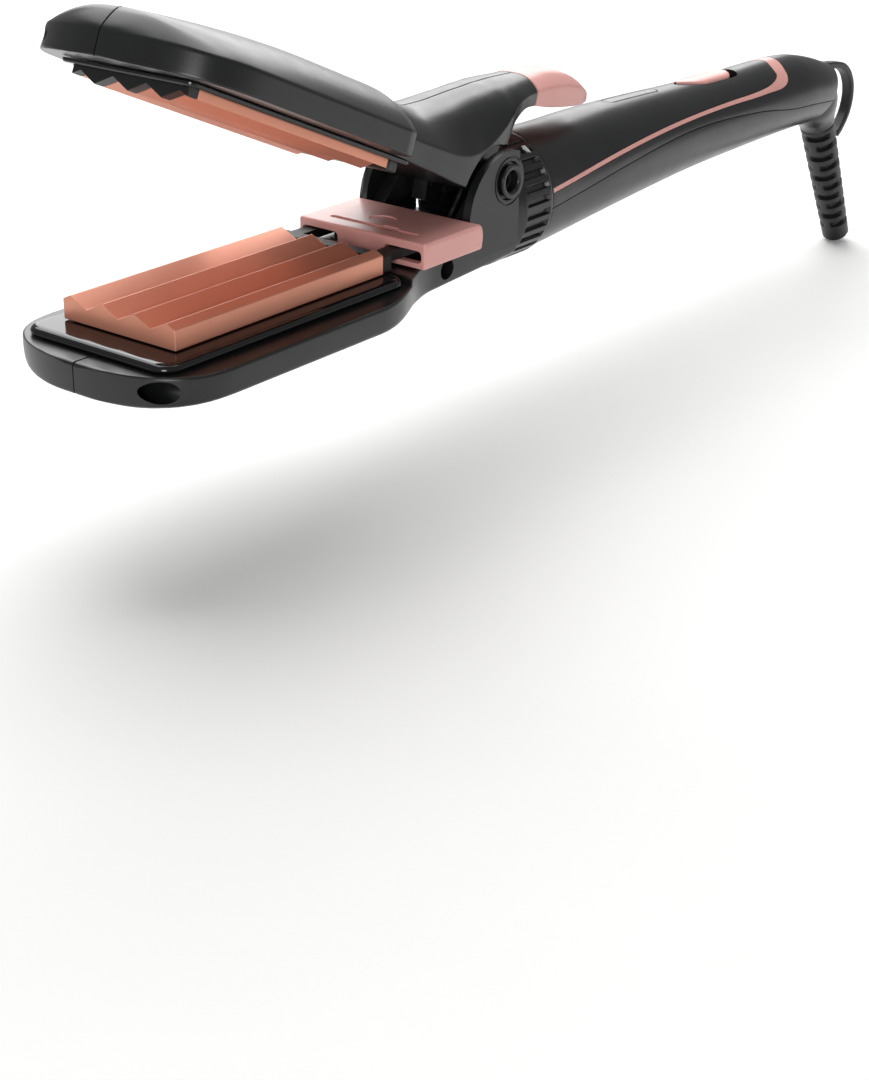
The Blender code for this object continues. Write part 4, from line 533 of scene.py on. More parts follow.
def ear(side):
    """Hinge ear about its bore. Radius runs to the outline in every direction: the smallest of the arc,
    the rear plane and the root. Its profile is bore, shallow ring groove, face, round edge, inner face."""
    corner = math.atan2(-EAR_Z + math.sqrt(EAR_RADIUS**2 - (EAR_REAR + EAR_X)**2), EAR_REAR)
    low = math.atan2(EAR_ROOT, EAR_REAR)
    angle = np.unique(np.concatenate([np.linspace(-math.pi, math.pi, 160, endpoint=False), [corner, low]]))
    c, s = np.cos(angle), np.sin(angle)
    towards = -EAR_X * c - EAR_Z * s
    arc = towards + np.sqrt(towards**2 - (EAR_X**2 + EAR_Z**2) + EAR_RADIUS**2)
    tiny, never = 1e-6, 99
    rear = np.where(c > tiny, EAR_REAR / np.maximum(c, tiny), never)
    root = np.where(s < -tiny, EAR_ROOT / np.minimum(s, -tiny), never)
    reach = np.minimum(np.minimum(arc, rear), root)
    face, inner = NECK_HALF, EAR_INNER
    rows = [(4.0, inner), (4.0, face - 0.9), (4.9, face - 0.9), (5.0, face - 0.35), (5.25, face),
            (6.1, face), (6.2, face - 0.3), (6.45, face - 0.3), (6.55, face)]
    edge = np.where(reach > root - tiny, 0.0, 0.45)
    for share in np.linspace(0, 1, 5):
        rows.append((reach - edge * (1 - math.cos(share * math.pi / 2)),
                     face + 0.02 - edge * (1 - math.sin(math.pi / 2 - share * math.pi / 2))))
    rows.append((reach, inner))
    grid = [np.column_stack([HINGE_X + r * c, side * (y + 0 * c), HINGE_Z + r * s]) for r, y in rows]
    return np.stack(grid), True


def screw_pit(x, z, depth, side, head_side):
    """Cutter for a screw across the tool: shank hole and wide head pit, or a blind hole in the half
    without the head."""
    shank, head = 1.4, 2.7
    if side != head_side:
        return build("pilot", drum((x, -side, z), (0, side, 0), 10.5, shank))
    profile = [(0, shank), (depth, shank), (depth + 0.01, head), (depth + 30, head)]
    return build("pit", lathe(profile, (x, 0, z), (0, side, 0), 48, False))


def lower_jaw():
    """Both halves of the lower jaw with the neck and the hinge ears, the rim and the flat plate."""
    nose = NOSE_X + np.array([0, 0.1, 0.3, 0.6, 1.0, 1.6, 2.4, 3.4, 4.6, 6, 8, 10, 12.5, 15, 18, 21, 24.5])
    straight = np.linspace(NOSE_X + NOSE_LENGTH + 5, SWEEP[0], 8)
    sweep = np.linspace(SWEEP[0] + 1.5, SWEEP[1], 24)
    neck = np.linspace(SWEEP[1] + 3, EAR_REAR_X - 0.4, 8)
    step = NECK_DECK_X + np.array([0, 0.25, 0.5])
    xs = np.unique(np.concatenate([nose, straight, sweep, neck, step, [EAR_REAR_X]]))
    nose_screw, neck_screw = (-9.0, -6.2, 9.0), (SCREW_X, -4.75, 12.0)      # x, z, depth of the head
    channel_floor, channel_half = -6.5, 5.4
    hole_z = -4.9
    for side, word in ((-1, "near"), (1, "far")):
        inset = nose_edge(xs, NOSE_X, 1.0) + nose_edge(EAR_REAR_X - xs, 0, 0.4)
        half = build(f"lower_housing_{word}", (lower_section(xs, side, GAP / 2, inset), False))
        inside = np.linspace(-1.0, NECK_DECK_X - WALL, 20)
        room = lower_section(inside, side, -1.0, np.full(len(inside), WALL))
        carve(half, build("room", (room, False)))
        for x0, x1, drop in ((NECK_DECK_X - 7, 110.4, 1.4), (SCREW_X, EAR_REAR_X + 2, 0.0)):
            carve(half, build("channel", side_block(side, x0, x1, channel_half, channel_floor - drop,
                                                    NECK_DECK_Z - WALL)))
        carve(half, build("window", side_block(side, *WINDOW_X, WINDOW_HALF, DECK_Z - WALL - 1,
                                               DECK_Z + 1)))
        carve(half, screw_pit(*nose_screw, side, -1), screw_pit(*neck_screw, side, -1))
        carve(half, build("pilot", drum((EAR_REAR_X - 7, side * 7.0, -2.6), (1, 0, 0), 9, 1.1, 24)))
        if side > 0:
            carve(half, build("post_hole", drum((LATCH_POST_X, LATCH_POST_Y, hole_z), (0, 0, 1), 6, 1.8)),
                  build("guide_hole", drum((GUIDE_POST_X, GUIDE_POST_Y, hole_z), (0, 0, 1), 6, 1.6)),
                  build("oval_pocket", pocket(102.5, 106.5, 4.0, 1.6, NECK_DECK_Z - 0.8, 2.0)))
        join(half, build("ear", ear(side)))
        dress(half, "satin_black", "main_body", f"lower_casing_{word}")

    # bead: quarter ellipse from the deck up and in towards the plate, then a straight inner wall
    low, high = mm_box("lower_rim_frame")
    plate_low, plate_high = mm_box("lower_flat_plate")
    swell = np.radians(np.linspace(0, 90, 9))
    pulled_in = 2.2 * (1 - np.cos(swell))
    heights = low[2] + 0.6 + (high[2] - low[2] - 0.6) * np.sin(swell)
    levels = [(low[0] + 0.3, high[0] - 0.3, high[1] - 0.3, 4.7, low[2])]
    levels += [(low[0] + o, high[0] - o, high[1] - o, 5.0 - min(o, 4.5), z)
               for o, z in zip(pulled_in, heights)]
    inner = (plate_low[0] - GAP, plate_high[0] + GAP, plate_high[1] + GAP, 0.9)
    levels += [(*inner, high[2]), (*inner, low[2])]
    dress(build("lower_bead_rim", (layers(levels), True)), "gloss_black", "main_body", "lower_rim_frame")
    plate = slab(plate_low[0], plate_high[0], plate_high[1], plate_low[2], plate_high[2], 0.8, 0.3)
    dress(build("smooth_plate", plate), "copper_coat", "main_body", "lower_flat_plate")


# ---------------------------------------------------------------- upper jaw

ARM_ROWS = [      # crest x from the hinge, z, band z, foot x from the hinge, z, width from the neck's
    (-54.4, 24.4, 14.6, -54.4, 8.7, 2.0), (-44.9, 23.7, 14.4, -44.9, 8.5, 0.8),
    (-32.4, 23.1, 14.6, -32.4, 8.1, 0.2), (-23.4, 26.0, 14.9, -23.4, 7.7, -0.2),
    (-16.3, 29.4, 16.6, -16.3, 7.6, -0.7), (-11.3, 31.9, 19.0, -11.3, 7.8, -1.6),
    (-6.5, 34.2, 23.0, -5.9, 8.4, -2.6), (-2.5, 36.2, 27.2, -0.9, 9.0, -3.6),
    (0.3, 37.4, 30.0, 1.3, 14.0, -4.4), (2.1, 38.2, 31.6, 1.7, 20.5, -4.8),
    (4.1, 39.1, 33.2, 2.7, 23.8, -5.4), (6.6, 40.1, 35.0, 4.7, 28.6, -6.2),
    (9.1, 41.1, 36.7, 8.5, 32.6, -7.1), (11.9, 42.2, 38.2, 11.8, 34.3, -8.0),
    (14.6, 43.3, 39.5, 15.1, 35.4, -8.6),
]
TIP_ROWS = [      # the same for the lever's tip
    (15.1, 43.55, 39.75, 15.7, 35.6, -8.6), (18.5, 45.1, 41.3, 20.0, 36.4, -8.6),
    (22.6, 46.8, 43.0, 25.0, 37.4, -8.6), (29.5, 48.6, 45.0, 32.5, 39.4, -8.9),
    (36.5, 49.0, 46.0, 39.0, 41.4, -9.6), (41.9, 47.9, 45.7, 43.3, 43.2, -11.0),
    (44.4, 46.8, 45.6, 45.0, 44.3, -13.2),
]
CREASE_Z, FOOT_Z = 14.6, 8.7


def crown_rise(x):
    """Height of the crown over the crease: 0.4 plus a quarter sine of 5.2 over the first 5 mm plus one
    of 4.0 over 55 mm."""
    run = x - UPPER_NOSE_X
    quick = np.sin(np.clip(run / 5, 0, 1) * np.pi / 2)
    return 0.4 + 5.2 * quick + 4.0 * np.sin(np.clip(run / 55, 0, 1) * np.pi / 2)


def crowned(rows, side, seam, inset=0.0):
    """Half cross-sections from rows (crest x, crest z, band z, foot x, foot z, half width). Between
    the seam and the crisp crease the height falls as (y / width) to the power 2.7."""
    xt, zt, band, xf, zf, width = np.asarray(rows, float).T
    inset = inset + 0 * xt
    zt, zf, band = zt - inset, zf + inset, band - inset
    width = width - np.where(xt < UPPER_NOSE_X + 1, 0, inset)
    v = np.linspace(0, 1, 10)[1:-1]
    outline = [(seam + 0 * xt, zt)]
    outline += [(seam + (width - seam) * share, zt - (zt - band) * share**2.7) for share in v]
    outline += [(width, band), (width, zf), (seam + 0 * xt, zf)]
    corners = np.stack([np.stack([xf + (xt - xf) * (z - zf) / (zt - zf), side * y, z], axis=-1)
                        for y, z in outline], axis=1)
    return rounded(corners, [0.3] + [9.0] * len(v) + [0.7, 0.7, 0.3], 3)


def jaw_rows(xs, inset_nose=0.0):
    """Rows for crowned() along the paddle-shaped front of the upper jaw."""
    top = CREASE_Z + crown_rise(xs)
    width = nose_width(xs, UPPER_NOSE_X + inset_nose, PADDLE_HALF)
    return np.column_stack([xs, top, CREASE_Z + 0 * xs, xs, FOOT_Z + 0 * xs, width])


def arm_rows():
    """Rows for crowned() from the paddle's cheek back over the hinge to the lever's joint."""
    arm = np.array(ARM_ROWS)
    arm[:, [0, 3]] += HINGE_X
    arm[:, 5] += NECK_HALF
    cheek_x = PLATE_LENGTH - 4.5 + np.array([-4.5, -1.5, 0.0, 0.7])
    cheek = jaw_rows(cheek_x)
    cheek[:, 5] = PADDLE_HALF - np.array([0.0, 0.8, 3.0, 6.5])
    return refined(np.concatenate([cheek, arm]), 4)


def upper_jaw():
    """Both halves of the upper jaw, arm and lever, with what is mounted in and under them."""
    front = UPPER_NOSE_X + np.array([0, 0.1, 0.25, 0.5, 0.9, 1.4, 2, 2.8, 3.8, 5, 6.5, 8.5, 11, 14, 17.5, 21,
                                     24.5, 30, 36, 42, 48, 55, 62, 69, 75.5])
    rows = np.concatenate([jaw_rows(front), arm_rows()])
    inset = nose_edge(rows[:, 0], UPPER_NOSE_X, 0.5)
    relief = ear_outline(0.8)
    turned_by = -(OPEN + OVER_OPEN)
    c, s = math.cos(turned_by), math.sin(turned_by)
    offset = relief - [HINGE_X, HINGE_Z]
    swung = np.column_stack([HINGE_X + c * offset[:, 0] + s * offset[:, 1],
                             HINGE_Z - s * offset[:, 0] + c * offset[:, 1]])
    inside = np.linspace(UPPER_NOSE_X + 3, PLATE_LENGTH - 7, 16)
    barrel_inner, spring_radius = 5.4, 7.0
    for side, word in ((-1, "near"), (1, "far")):
        half = build(f"upper_housing_{word}", (crowned(rows, side, GAP / 2, inset), False))
        for outline in (relief, swung):
            carve(half, build("ear_room", across(outline, sorted((side * WEB_HALF, side * 40.0)))))
        carve(half, build("room", (crowned(jaw_rows(inside, WALL), side, -1.0, WALL), False)))
        carve(half, build("window", side_block(side, *WINDOW_X, WINDOW_HALF, FOOT_Z - 1, FOOT_Z + 4)))
        carve(half, build("pin_bore", drum((HINGE_X, -20, HINGE_Z), (0, 1, 0), 40, PIN_BORE)))
        carve(half, build("spring_room", drum((HINGE_X, -5.3, HINGE_Z), (0, 1, 0), 10.6, spring_radius)))
        for x, z in ((UPPER_NOSE_X + 6.4, 12.2), (HINGE_X - 36.9, 15.0)):
            carve(half, screw_pit(x, z, 9.0, side, 1))
        barrel = [(barrel_inner, PIN_BORE), (barrel_inner, BUSH_RADIUS), (WEB_HALF, BUSH_RADIUS),
                  (WEB_HALF, PIN_BORE)]
        join(half, build("barrel", lathe(barrel, (HINGE_X, 0, HINGE_Z), (0, side, 0))))
        if side > 0:
            lug = [(HINGE_X - 2.4, HINGE_Z - 3), (HINGE_X - 1.4, 3.5), (HINGE_X + 3.9, 3.5),
                   (HINGE_X + 4.0, HINGE_Z - 3)]
            lug = build("lug", across(lug, (5.7, 10.4)))
            carve(lug, build("pocket", block((HINGE_X + 1.2, 6.1, 4.1), (HINGE_X + 8, 9.1, 6.9))))
            join(half, lug)
        dress(half, "satin_black", "upper_jaw", f"upper_casing_{word}", opened=True)

    tip = np.array(TIP_ROWS)
    tip[:, [0, 3]] += HINGE_X
    tip[:, 5] += NECK_HALF
    tip = refined(tip, 6)
    near, far = crowned(tip, -1, 0.0), crowned(tip, 1, 0.0)
    loop = np.concatenate([far[:, 3:-3], near[:, 3:-3][:, ::-1]], axis=1)
    dress(build("thumb_tip", (loop, False)), "rose_plastic", "upper_jaw", "lever_tip", opened=True)

    outline = ridged_outline(0.5, FOOT_Z - 0.3)
    for name, node_name, x0, x1, finish in (
            ("ridged_upper_plate", "upper_crimp_plate", 3.3, PLATE_LENGTH, "copper_coat"),
            ("toothed_front_comb", "upper_front_comb", 0.0, 3.0, "satin_black")):
        xs, insets = edge_places(x0, x1, 0.2)
        dress(build(name, along(outline, xs, insets)), finish, "upper_jaw", node_name, opened=True)
    rear = slab(PLATE_LENGTH + GAP, PLATE_LENGTH + GAP + 4, PLATE_HALF, 5.0, FOOT_Z - 0.3, 0.6, 0.4)
    dress(build("rear_stop_block", rear), "satin_black", "upper_jaw", "upper_rear_block", opened=True)
    outer = (-2.6, PLATE_LENGTH + 6.4, PLATE_HALF + 2.6)
    levels = [(outer[0] + o, outer[1] - o, outer[2] - o, 2.5 - o, z) for o, z in
              ((0.7, 7.4), (0.35, 7.45), (0.1, 7.65), (0.0, 7.9), (0.0, FOOT_Z - 0.3))]
    inner = (-GAP, PLATE_LENGTH + 4 + 2 * GAP, PLATE_HALF + GAP, 0.5)
    levels += [(*inner, FOOT_Z - 0.3), (*inner, 7.4)]
    dress(build("upper_bead_rim", (layers(levels), True)), "gloss_black", "upper_jaw", "upper_rim_frame",
          opened=True)


# ---------------------------------------------------------------- ridged insert and latch bar

def ridge_height(y):
    """Zigzag face of the crimping plates: rises and falls once in each pitch."""
    phase = (np.abs(y) / RIDGE_PITCH) % 1.0
    return VALLEY_Z + RIDGE_HEIGHT * (1.0 - 2.0 * np.abs(phase - 0.5))


def ridged_outline(lift, flat_z):
    """Cross-section of a ridged plate: zigzag on one side, flat at flat_z on the other."""
    count = int(PLATE_HALF / (RIDGE_PITCH / 2))
    lines = np.arange(-count, count + 1) * RIDGE_PITCH / 2
    ys = np.concatenate([[-PLATE_HALF], lines, [PLATE_HALF]])
    corners = np.concatenate([np.column_stack([ys, ridge_height(ys) + lift]),
                              [(PLATE_HALF, flat_z), (-PLATE_HALF, flat_z)]])
    return rounded(corners, [0.25] + [0.16] * len(lines) + [0.25] * 3, 3)


def insert_plate():
    """Ridged insert that lies over the smooth plate, hollow below."""
    xs, insets = edge_places(0.0, PLATE_LENGTH, 0.2)
    plate = build("ridged_insert", along(ridged_outline(0.0, 0.0), xs, insets))
    carve(plate, build("recess", slab(1.0, PLATE_LENGTH - 1, PLATE_HALF - 1, -1.0, 1.7, 0.5, 0.1)))
    for y in (-7.0, 7.0):
        carve(plate, build("tap", drum((PLATE_LENGTH - 4, y, 2.3), (1, 0, 0), 8, 1.0, 24)))
    dress(plate, "copper_coat", "crimp_insert", "insert_plate")


def latch_bar():
    """Sliding bar: rounded shell, open below, with a slot window for each arm, a groove, a sight hole
    and a lens-shaped dish in the top, and a keyhole lip that slips under the latch post's head."""
    (x0, y0, z0), (x1, y1, z1) = BAR_LOW, BAR_HIGH
    x1 = x1 - 0.4
    middle = (y0 + y1) / 2
    outline = rounded([(x0, z0), (x0, z1), (x1 - 0.3, z1), (x1 + 0.4, (z0 + z1) / 2), (x1 - 0.3, z0)],
                      [0.5, 0.8, 1.2, 3.0, 0.6], 6)
    ys, insets = edge_places(y0, y1, 1.0, 6)
    bar = build("sliding_latch_bar", across(outline, ys, insets))
    carve(bar, build("room", pocket(x0 + WALL, x1 - WALL, middle, (y1 - y0) / 2 - WALL, z0 - 1,
                                         z1 - z0 - 0.2, 1.0)))
    arm = WEB_HALF + 0.4
    inner, outer = arm - abs(middle) - 1.4, arm + 4.0 + abs(middle) + 1.2
    for side in (-1, 1):
        ends = sorted((middle + side * inner, middle + side * outer))
        slot = rounded([(ends[0], 1.2), (ends[0], 4.4), (ends[1], 4.4), (ends[1], 1.2)], 1.4, 6)
        carve(bar, build("arm_window", along(slot, (x0 - 2, x1 + 2))))
    carve(bar, build("sight_hole", pocket(x0 + 4.2, x0 + 7.6, middle - 4.3, 2.7, z1 - 4, 5, 0.4)),
          build("groove", pocket(x0 + 4.5, x0 + 6.4, middle, 14.5, z1 - 0.5, 2)))
    turn = np.linspace(0, 2 * np.pi, 40, endpoint=False)
    lens = np.column_stack([x0 + 11.5 + 3.2 * np.cos(turn) * np.abs(np.cos(turn)) ** 0.3,
                            middle + 2.0 + 4.2 * np.sin(turn)])
    dish = np.stack([np.column_stack([lens, np.full(len(lens), z)]) for z in (z1 - 0.35, z1 + 1)])
    carve(bar, build("lens", (dish, False)))
    lip_end = LATCH_POST_Y - POST_HEAD - GAP
    keyhole = (LATCH_POST_X - 2.0, lip_end - 3.8, z0 - 1), (LATCH_POST_X + 2.0, lip_end + 1, z0 + 3)
    lip = build("lip", block((x0 + 1, lip_end - 5.4, z0), (x1 - 1.2, lip_end, z0 + 1.3)))
    join(bar, carve(lip, build("keyhole", block(*keyhole))))
    dress(bar, "rose_plastic", "latch_slider", "latch_bar")


def posts():
    """Mushroom-headed latch post, whose dome's radius is its cosine to the power 0.7, and the notched
    guide post, both on the neck's deck."""
    low, high = mm_box("latch_post")
    centre = (low + high) / 2
    dome = np.radians(np.linspace(0, 88, 8))
    head = high[2] - 1.7
    profile = [(low[2], 0.01), (low[2], 1.5), (head - 0.2, 1.5), (head, 2.6)]
    profile += [(head + 0.5 + 1.2 * math.sin(a), POST_HEAD * math.cos(a) ** 0.7) for a in dome]
    dress(build("mushroom_post", lathe(profile, (centre[0], centre[1], 0), (0, 0, 1), 48, False)),
          "black_steel", "main_body", "latch_post")
    low, high = mm_box("guide_post")
    centre = (low + high) / 2
    step = high[2] - 3.0
    profile = [(low[2], 0.01), (low[2], 1.3), (step, 1.3), (step, 2.0), (high[2] - 0.3, 2.0),
               (high[2], 1.7), (high[2], 0.01)]
    post = build("notched_post", lathe(profile, (centre[0], centre[1], 0), (0, 0, 1), 48, False))
    notch = [(centre[0] - 1.0, high[2] + 0.6), (centre[0], high[2] - 1.0), (centre[0] + 1.0, high[2] + 0.6)]
    carve(post, build("notch", across(notch, (centre[1] - 4, centre[1] + 4))))
    dress(post, "black_steel", "main_body", "guide_post")


def bushes():
    """Raised ring in each hinge ear, with round edges and a recessed bore."""
    for side, word in ((-1, "near"), (1, "far")):
        face = NECK_HALF
        corners = [(EAR_INNER + 0.2, PIN_BORE), (EAR_INNER + 0.2, 3.6), (face + 0.3, 3.6),
                   (face + 0.3, 4.55), (face + 1.2, 4.55), (face + 1.2, 3.3), (face + 0.7, PIN_BORE)]
        profile = rounded(corners, [0.1, 0.1, 0.1, 0.15, 0.5, 0.45, 0.3], 4)
        dress(build(f"ear_bush_{word}", lathe(profile, (HINGE_X, 0, HINGE_Z), (0, side, 0), 72)),
              "satin_black", "main_body", f"hinge_bush_{word}")


# ---------------------------------------------------------------- lock ring

def lock_ring():
    """Grip ring: a plain band and thumb scoop in front, axial ribs on both sides. The radius falls in a
    rounded groove between ribs where the angle is near the sides (its cosine past 0.42) and x is past
    the plain band; the scoop is a parabola along x times one round the side."""
    x0, x1 = RING_LOW[0], RING_HIGH[0]
    angle = np.linspace(0, 2 * np.pi, 528, endpoint=False)
    lead = np.radians(np.linspace(0, 90, 5))
    places = np.concatenate([x0 + 0.8 * (1 - np.cos(lead)), [x0 + 2.5, x0 + 4.6, x0 + 5.4, x0 + 5.9],
                             np.linspace(x0 + 6.6, x1 - 2.4, 8), [x1 - 1.9, x1 - 1.5, x1 - 1.1],
                             x1 - 0.4 * (1 - np.sin(lead))[1:]])
    drop = np.concatenate([0.8 * (1 - np.sin(lead)), np.zeros(15), 0.4 * (1 - np.cos(lead))[1:]])
    x, theta = places[:, None], angle[None, :]
    ribs = 0.5 - 0.5 * np.cos(theta * 30)
    groove = np.clip((ribs - 0.45) / 0.25, 0, 1)
    lateral = np.clip((np.abs(np.cos(theta)) - 0.42) / 0.03, 0, 1)
    band = np.clip((x - x0 - 5.4) / 0.5, 0, 1) * np.clip((x1 - 1.2 - x) / 0.5, 0, 1)
    sideways = (1 - np.abs(np.cos(theta))) / 0.25
    scoop = 0.9 * np.clip(1 - ((x - x0) / 4.6) ** 2, 0, 1) * np.clip(1 - sideways ** 2, 0, 1)
    radius = RING_RADIUS - drop[:, None] - 1.1 * groove * lateral * band - scoop
    outer = np.stack([x + 0 * theta, radius * np.cos(theta), AXIS_Z + radius * np.sin(theta)], axis=-1)
    wide = RING_BORE + 2.0
    inner = [(x1, RING_BORE), (x0 + 3.0, RING_BORE), (x0 + 2.6, wide), (x0, wide)]
    inner = np.stack([np.column_stack([np.full(len(angle), place), r * np.cos(angle),
                                       AXIS_Z + r * np.sin(angle)]) for place, r in inner])
    ring = build("grip_lock_ring", (np.concatenate([outer, inner]), True))
    bolt = mm_box("lock_bolt")[1]
    peg = math.atan2(3.1, 7.6)
    turn = np.linspace(peg - math.radians(49), peg + math.radians(9), 14)
    arc = np.column_stack([np.cos(turn), np.sin(turn)])
    cam = np.concatenate([arc * (RING_BORE + 1.9), (arc * (RING_BORE - 2))[::-1]])
    peg_x = bolt[0] - 2.5
    carve(ring, build("cam_pocket", along(cam + [0, AXIS_Z], (peg_x - 4.6, peg_x + 1.6))))
    dress(ring, "satin_black", "ring", "lock_ring", crease=40)

    # raised pointer on the ring's upper near side: a slim wedge that follows the ring
    steps = 12
    t = np.radians(np.linspace(-4.5, 4.5, steps)) + math.radians(180 - 54)
    share = np.linspace(0, 1, steps)
    wedge = []
    for r in (RING_RADIUS - 0.5, RING_RADIUS + 0.04):
        front = np.column_stack([x1 - 2.6 + 0 * t, r * np.cos(t), AXIS_Z + r * np.sin(t)])
        back = np.column_stack([x1 - 4.2 + 1.3 * share, r * np.cos(t), AXIS_Z + r * np.sin(t)])[::-1]
        wedge.append(np.concatenate([front, back]))
    dress(build("ring_pointer", (np.stack(wedge), False)), "led_white", "ring")


# ---------------------------------------------------------------- handle

HANDLE_SHAPE = [  # share of the length, centre above the axis, taper, reduction
    (0.000, 0.10, 1.000, 0.0), (0.047, 0.10, 0.894, 0.0), (0.101, 0.20, 0.787, 0.0),
    (0.223, 1.00, 0.638, 0.0), (0.365, 1.40, 0.404, 0.0), (0.507, 1.45, 0.170, 0.0),
    (0.649, 1.30, 0.043, 0.0), (0.791, 1.30, 0.000, 0.0), (0.893, 0.90, 0.000, 0.3),
    (0.949, -0.10, 0.000, 1.0), (0.994, -1.20, 0.000, 1.9), (1.028, -1.90, 0.000, 3.0),
    (1.075, -2.60, 0.000, 4.4),
]
PARTING = [(0.00, -7.0), (0.20, 2.4), (0.47, 12.8), (0.68, 5.4), (0.84, -11.0), (1.03, -14.0)]
STRIPE = [        # share of the length, angle above the middle, half width
    (0.003, 9.6, 0.6), (0.120, 15.4, 0.6), (0.230, 19.9, 0.6), (0.355, 24.8, 0.6), (0.480, 28.4, 0.6),
    (0.600, 30.2, 0.65), (0.680, 30.0, 0.75), (0.735, 31.2, 1.0), (0.772, 34.5, 1.7), (0.793, 41.0, 2.4),
    (0.801, 49.0, 2.8), (0.805, 58.0, 2.8), (0.812, 68.0, 2.7), (0.820, 79.0, 2.6), (0.824, 90.0, 2.6),
]
FRONT_RADIUS, THIN_RADIUS = RING_RADIUS - GAP, 12.6
TAIL_SHARE = 0.949          # past this share the stripe is wrapped on a constant radius
SWIVEL_X, SWIVEL_Z = HANDLE_X + HANDLE_LENGTH, AXIS_Z - 3.4
SWIVEL_TILT, BOOT_TILT = math.radians(40), math.radians(63)     # below the handle's line


def share_of(x):
    """Distance along the handle as a share of its length."""
    return (np.asarray(x, float) - HANDLE_X) / HANDLE_LENGTH


def handle_size(x):
    """Centre height and radius of the handle's round section at x: the radius runs from the thin one
    to the front one by the taper, less the reduction towards the tail."""
    row = curve_through(HANDLE_SHAPE, np.atleast_1d(share_of(x)))
    radius = THIN_RADIUS + (FRONT_RADIUS - THIN_RADIUS) * row[:, 2] - row[:, 3]
    return AXIS_Z + row[:, 1], radius


def on_handle(x, degrees, inset=0.0, side=-1):
    """Points on the handle's skin at x, degrees above the middle on the near or far side."""
    centre, radius = handle_size(np.ravel(x))
    centre, radius = centre.reshape(np.shape(x)), radius.reshape(np.shape(x)) - inset
    angle = np.radians(degrees)
    return np.stack([x + 0 * angle, side * radius * np.cos(angle), centre + radius * np.sin(angle)], axis=-1)


def parting(x):
    """Degrees of the line between the shells above the middle at x, on a curve through PARTING."""
    return curve_through(PARTING, np.atleast_1d(share_of(x)))[:, 1]


def handle_shell(name, upper):
    """Half of the handle: outer and inner arcs between the parting lines, with a softened front lip. A
    tilted block cuts its tail off square to the swivel."""
    shares = np.concatenate([[0, 0.0005, 0.001, 0.002], np.linspace(0.008, 0.86, 56),
                             np.linspace(0.87, 1.075, 30)])
    x = HANDLE_X + shares * HANDLE_LENGTH
    part = parting(x)
    gap = np.degrees(GAP / 2 / handle_size(x)[1])
    start = part + gap if upper else part - gap
    stop = 180 - part - gap if upper else -180 - part + gap
    lip = 0.35 * np.clip(1 - (x - HANDLE_X) / 0.35, 0, 1) ** 2
    share = np.linspace(0, 1, 41)
    angles = start[:, None] + (stop - start)[:, None] * share
    places = x[:, None] + 0 * angles
    edge = 0.12 * (np.minimum(share, 1 - share) < 1e-9)
    outer = on_handle(places, angles, lip[:, None] + edge)
    inner = on_handle(places, angles[:, ::-1], SHELL)
    shell = build(name, (np.concatenate([outer, inner], axis=1), False))
    far = 40.0
    tail = [(SWIVEL_X + (z - SWIVEL_Z) * math.tan(SWIVEL_TILT) - GAP / 2, z) for z in (-far, far)]
    tail += [(tail[1][0] + 60, far), (tail[1][0] + 60, -far)]
    carve(shell, build("tail", across(tail, (-far, far))))
    return shell


def stripe_band(name, extra, depth, lift, across_steps):
    """The stripe laid out flat (length, angle x radius), widened each side of its path by its half
    width, and wrapped back on the handle; near side first, then its mirror."""
    numbered = np.column_stack([np.arange(len(STRIPE)), STRIPE])
    near = curve_through(numbered, np.linspace(0, len(STRIPE) - 1, 12 * (len(STRIPE) - 1) + 1))[:, 1:]
    far = near[:-1][::-1] * [1, -1, 1] + [0, 180, 0]
    path = np.concatenate([near, far])

    def wrap_radius(x):
        """Radius that the flat stripe is wrapped on."""
        return handle_size(np.minimum(x, HANDLE_X + TAIL_SHARE * HANDLE_LENGTH))[1]

    x = HANDLE_X + path[:, 0] * HANDLE_LENGTH
    flat = np.column_stack([x, np.radians(path[:, 1]) * wrap_radius(x)])
    ahead = np.gradient(flat, axis=0)
    ahead /= np.linalg.norm(ahead, axis=1, keepdims=True)
    normal = np.column_stack([-ahead[:, 1], ahead[:, 0]])
    offsets = np.linspace(-1, 1, across_steps)
    corners = [(o, lift) for o in offsets] + [(1, depth), (-1, depth)]
    ring = []
    for offset, inset in corners:
        place = flat + normal * offset * (path[:, 2:] + extra)
        ring.append(on_handle(place[:, 0], np.degrees(place[:, 1] / wrap_radius(place[:, 0])), inset))
    return build(name, (np.stack(ring, axis=1), False))


def leaf_half(share, length, half):
    """Half width of the slider's leaf: a quarter sine to the power 0.85 over the front 0.42 of its
    length, and a round rear end."""
    front = np.sin(np.pi / 2 * np.clip(share / 0.42, 0, 1)) ** 0.85
    rear = np.sqrt(np.clip(1 - np.clip((share - 1) * length / half + 1, 0, 1) ** 2, 0, 1))
    return half * np.minimum(front, rear)


def leaf_block(x0, x1, half, low, lift, edge, shape=leaf_half, count=70):
    """A block whose plan is a leaf or a pill and whose top follows the handle's crest, lifted by lift,
    with a quarter-round edge."""
    share = np.clip((1 - np.cos(np.linspace(0, np.pi, count))) / 2, 0.0005, 0.9995)
    x = x0 + (x1 - x0) * share
    centre, radius = handle_size(x)
    width = np.maximum(shape(share, x1 - x0, half), 0.04)
    v = np.linspace(-1, 1, 15)
    y = width[:, None] * np.sin(v * np.pi / 2)
    near_edge = np.clip((np.abs(y) - width[:, None] + edge) / edge, 0, 1)
    fall = edge * (1 - np.sqrt(np.clip(1 - near_edge ** 2, 0, 1)))
    top = centre[:, None] + np.sqrt((radius[:, None] + lift) ** 2 - y**2) - np.minimum(fall, edge)
    upper = np.stack([x[:, None] + 0 * y, y, top], axis=-1)
    lower = np.stack([np.stack([x, side * width, low + 0 * x], axis=-1) for side in (1, -1)], axis=1)
    return np.concatenate([upper, lower], axis=1), False


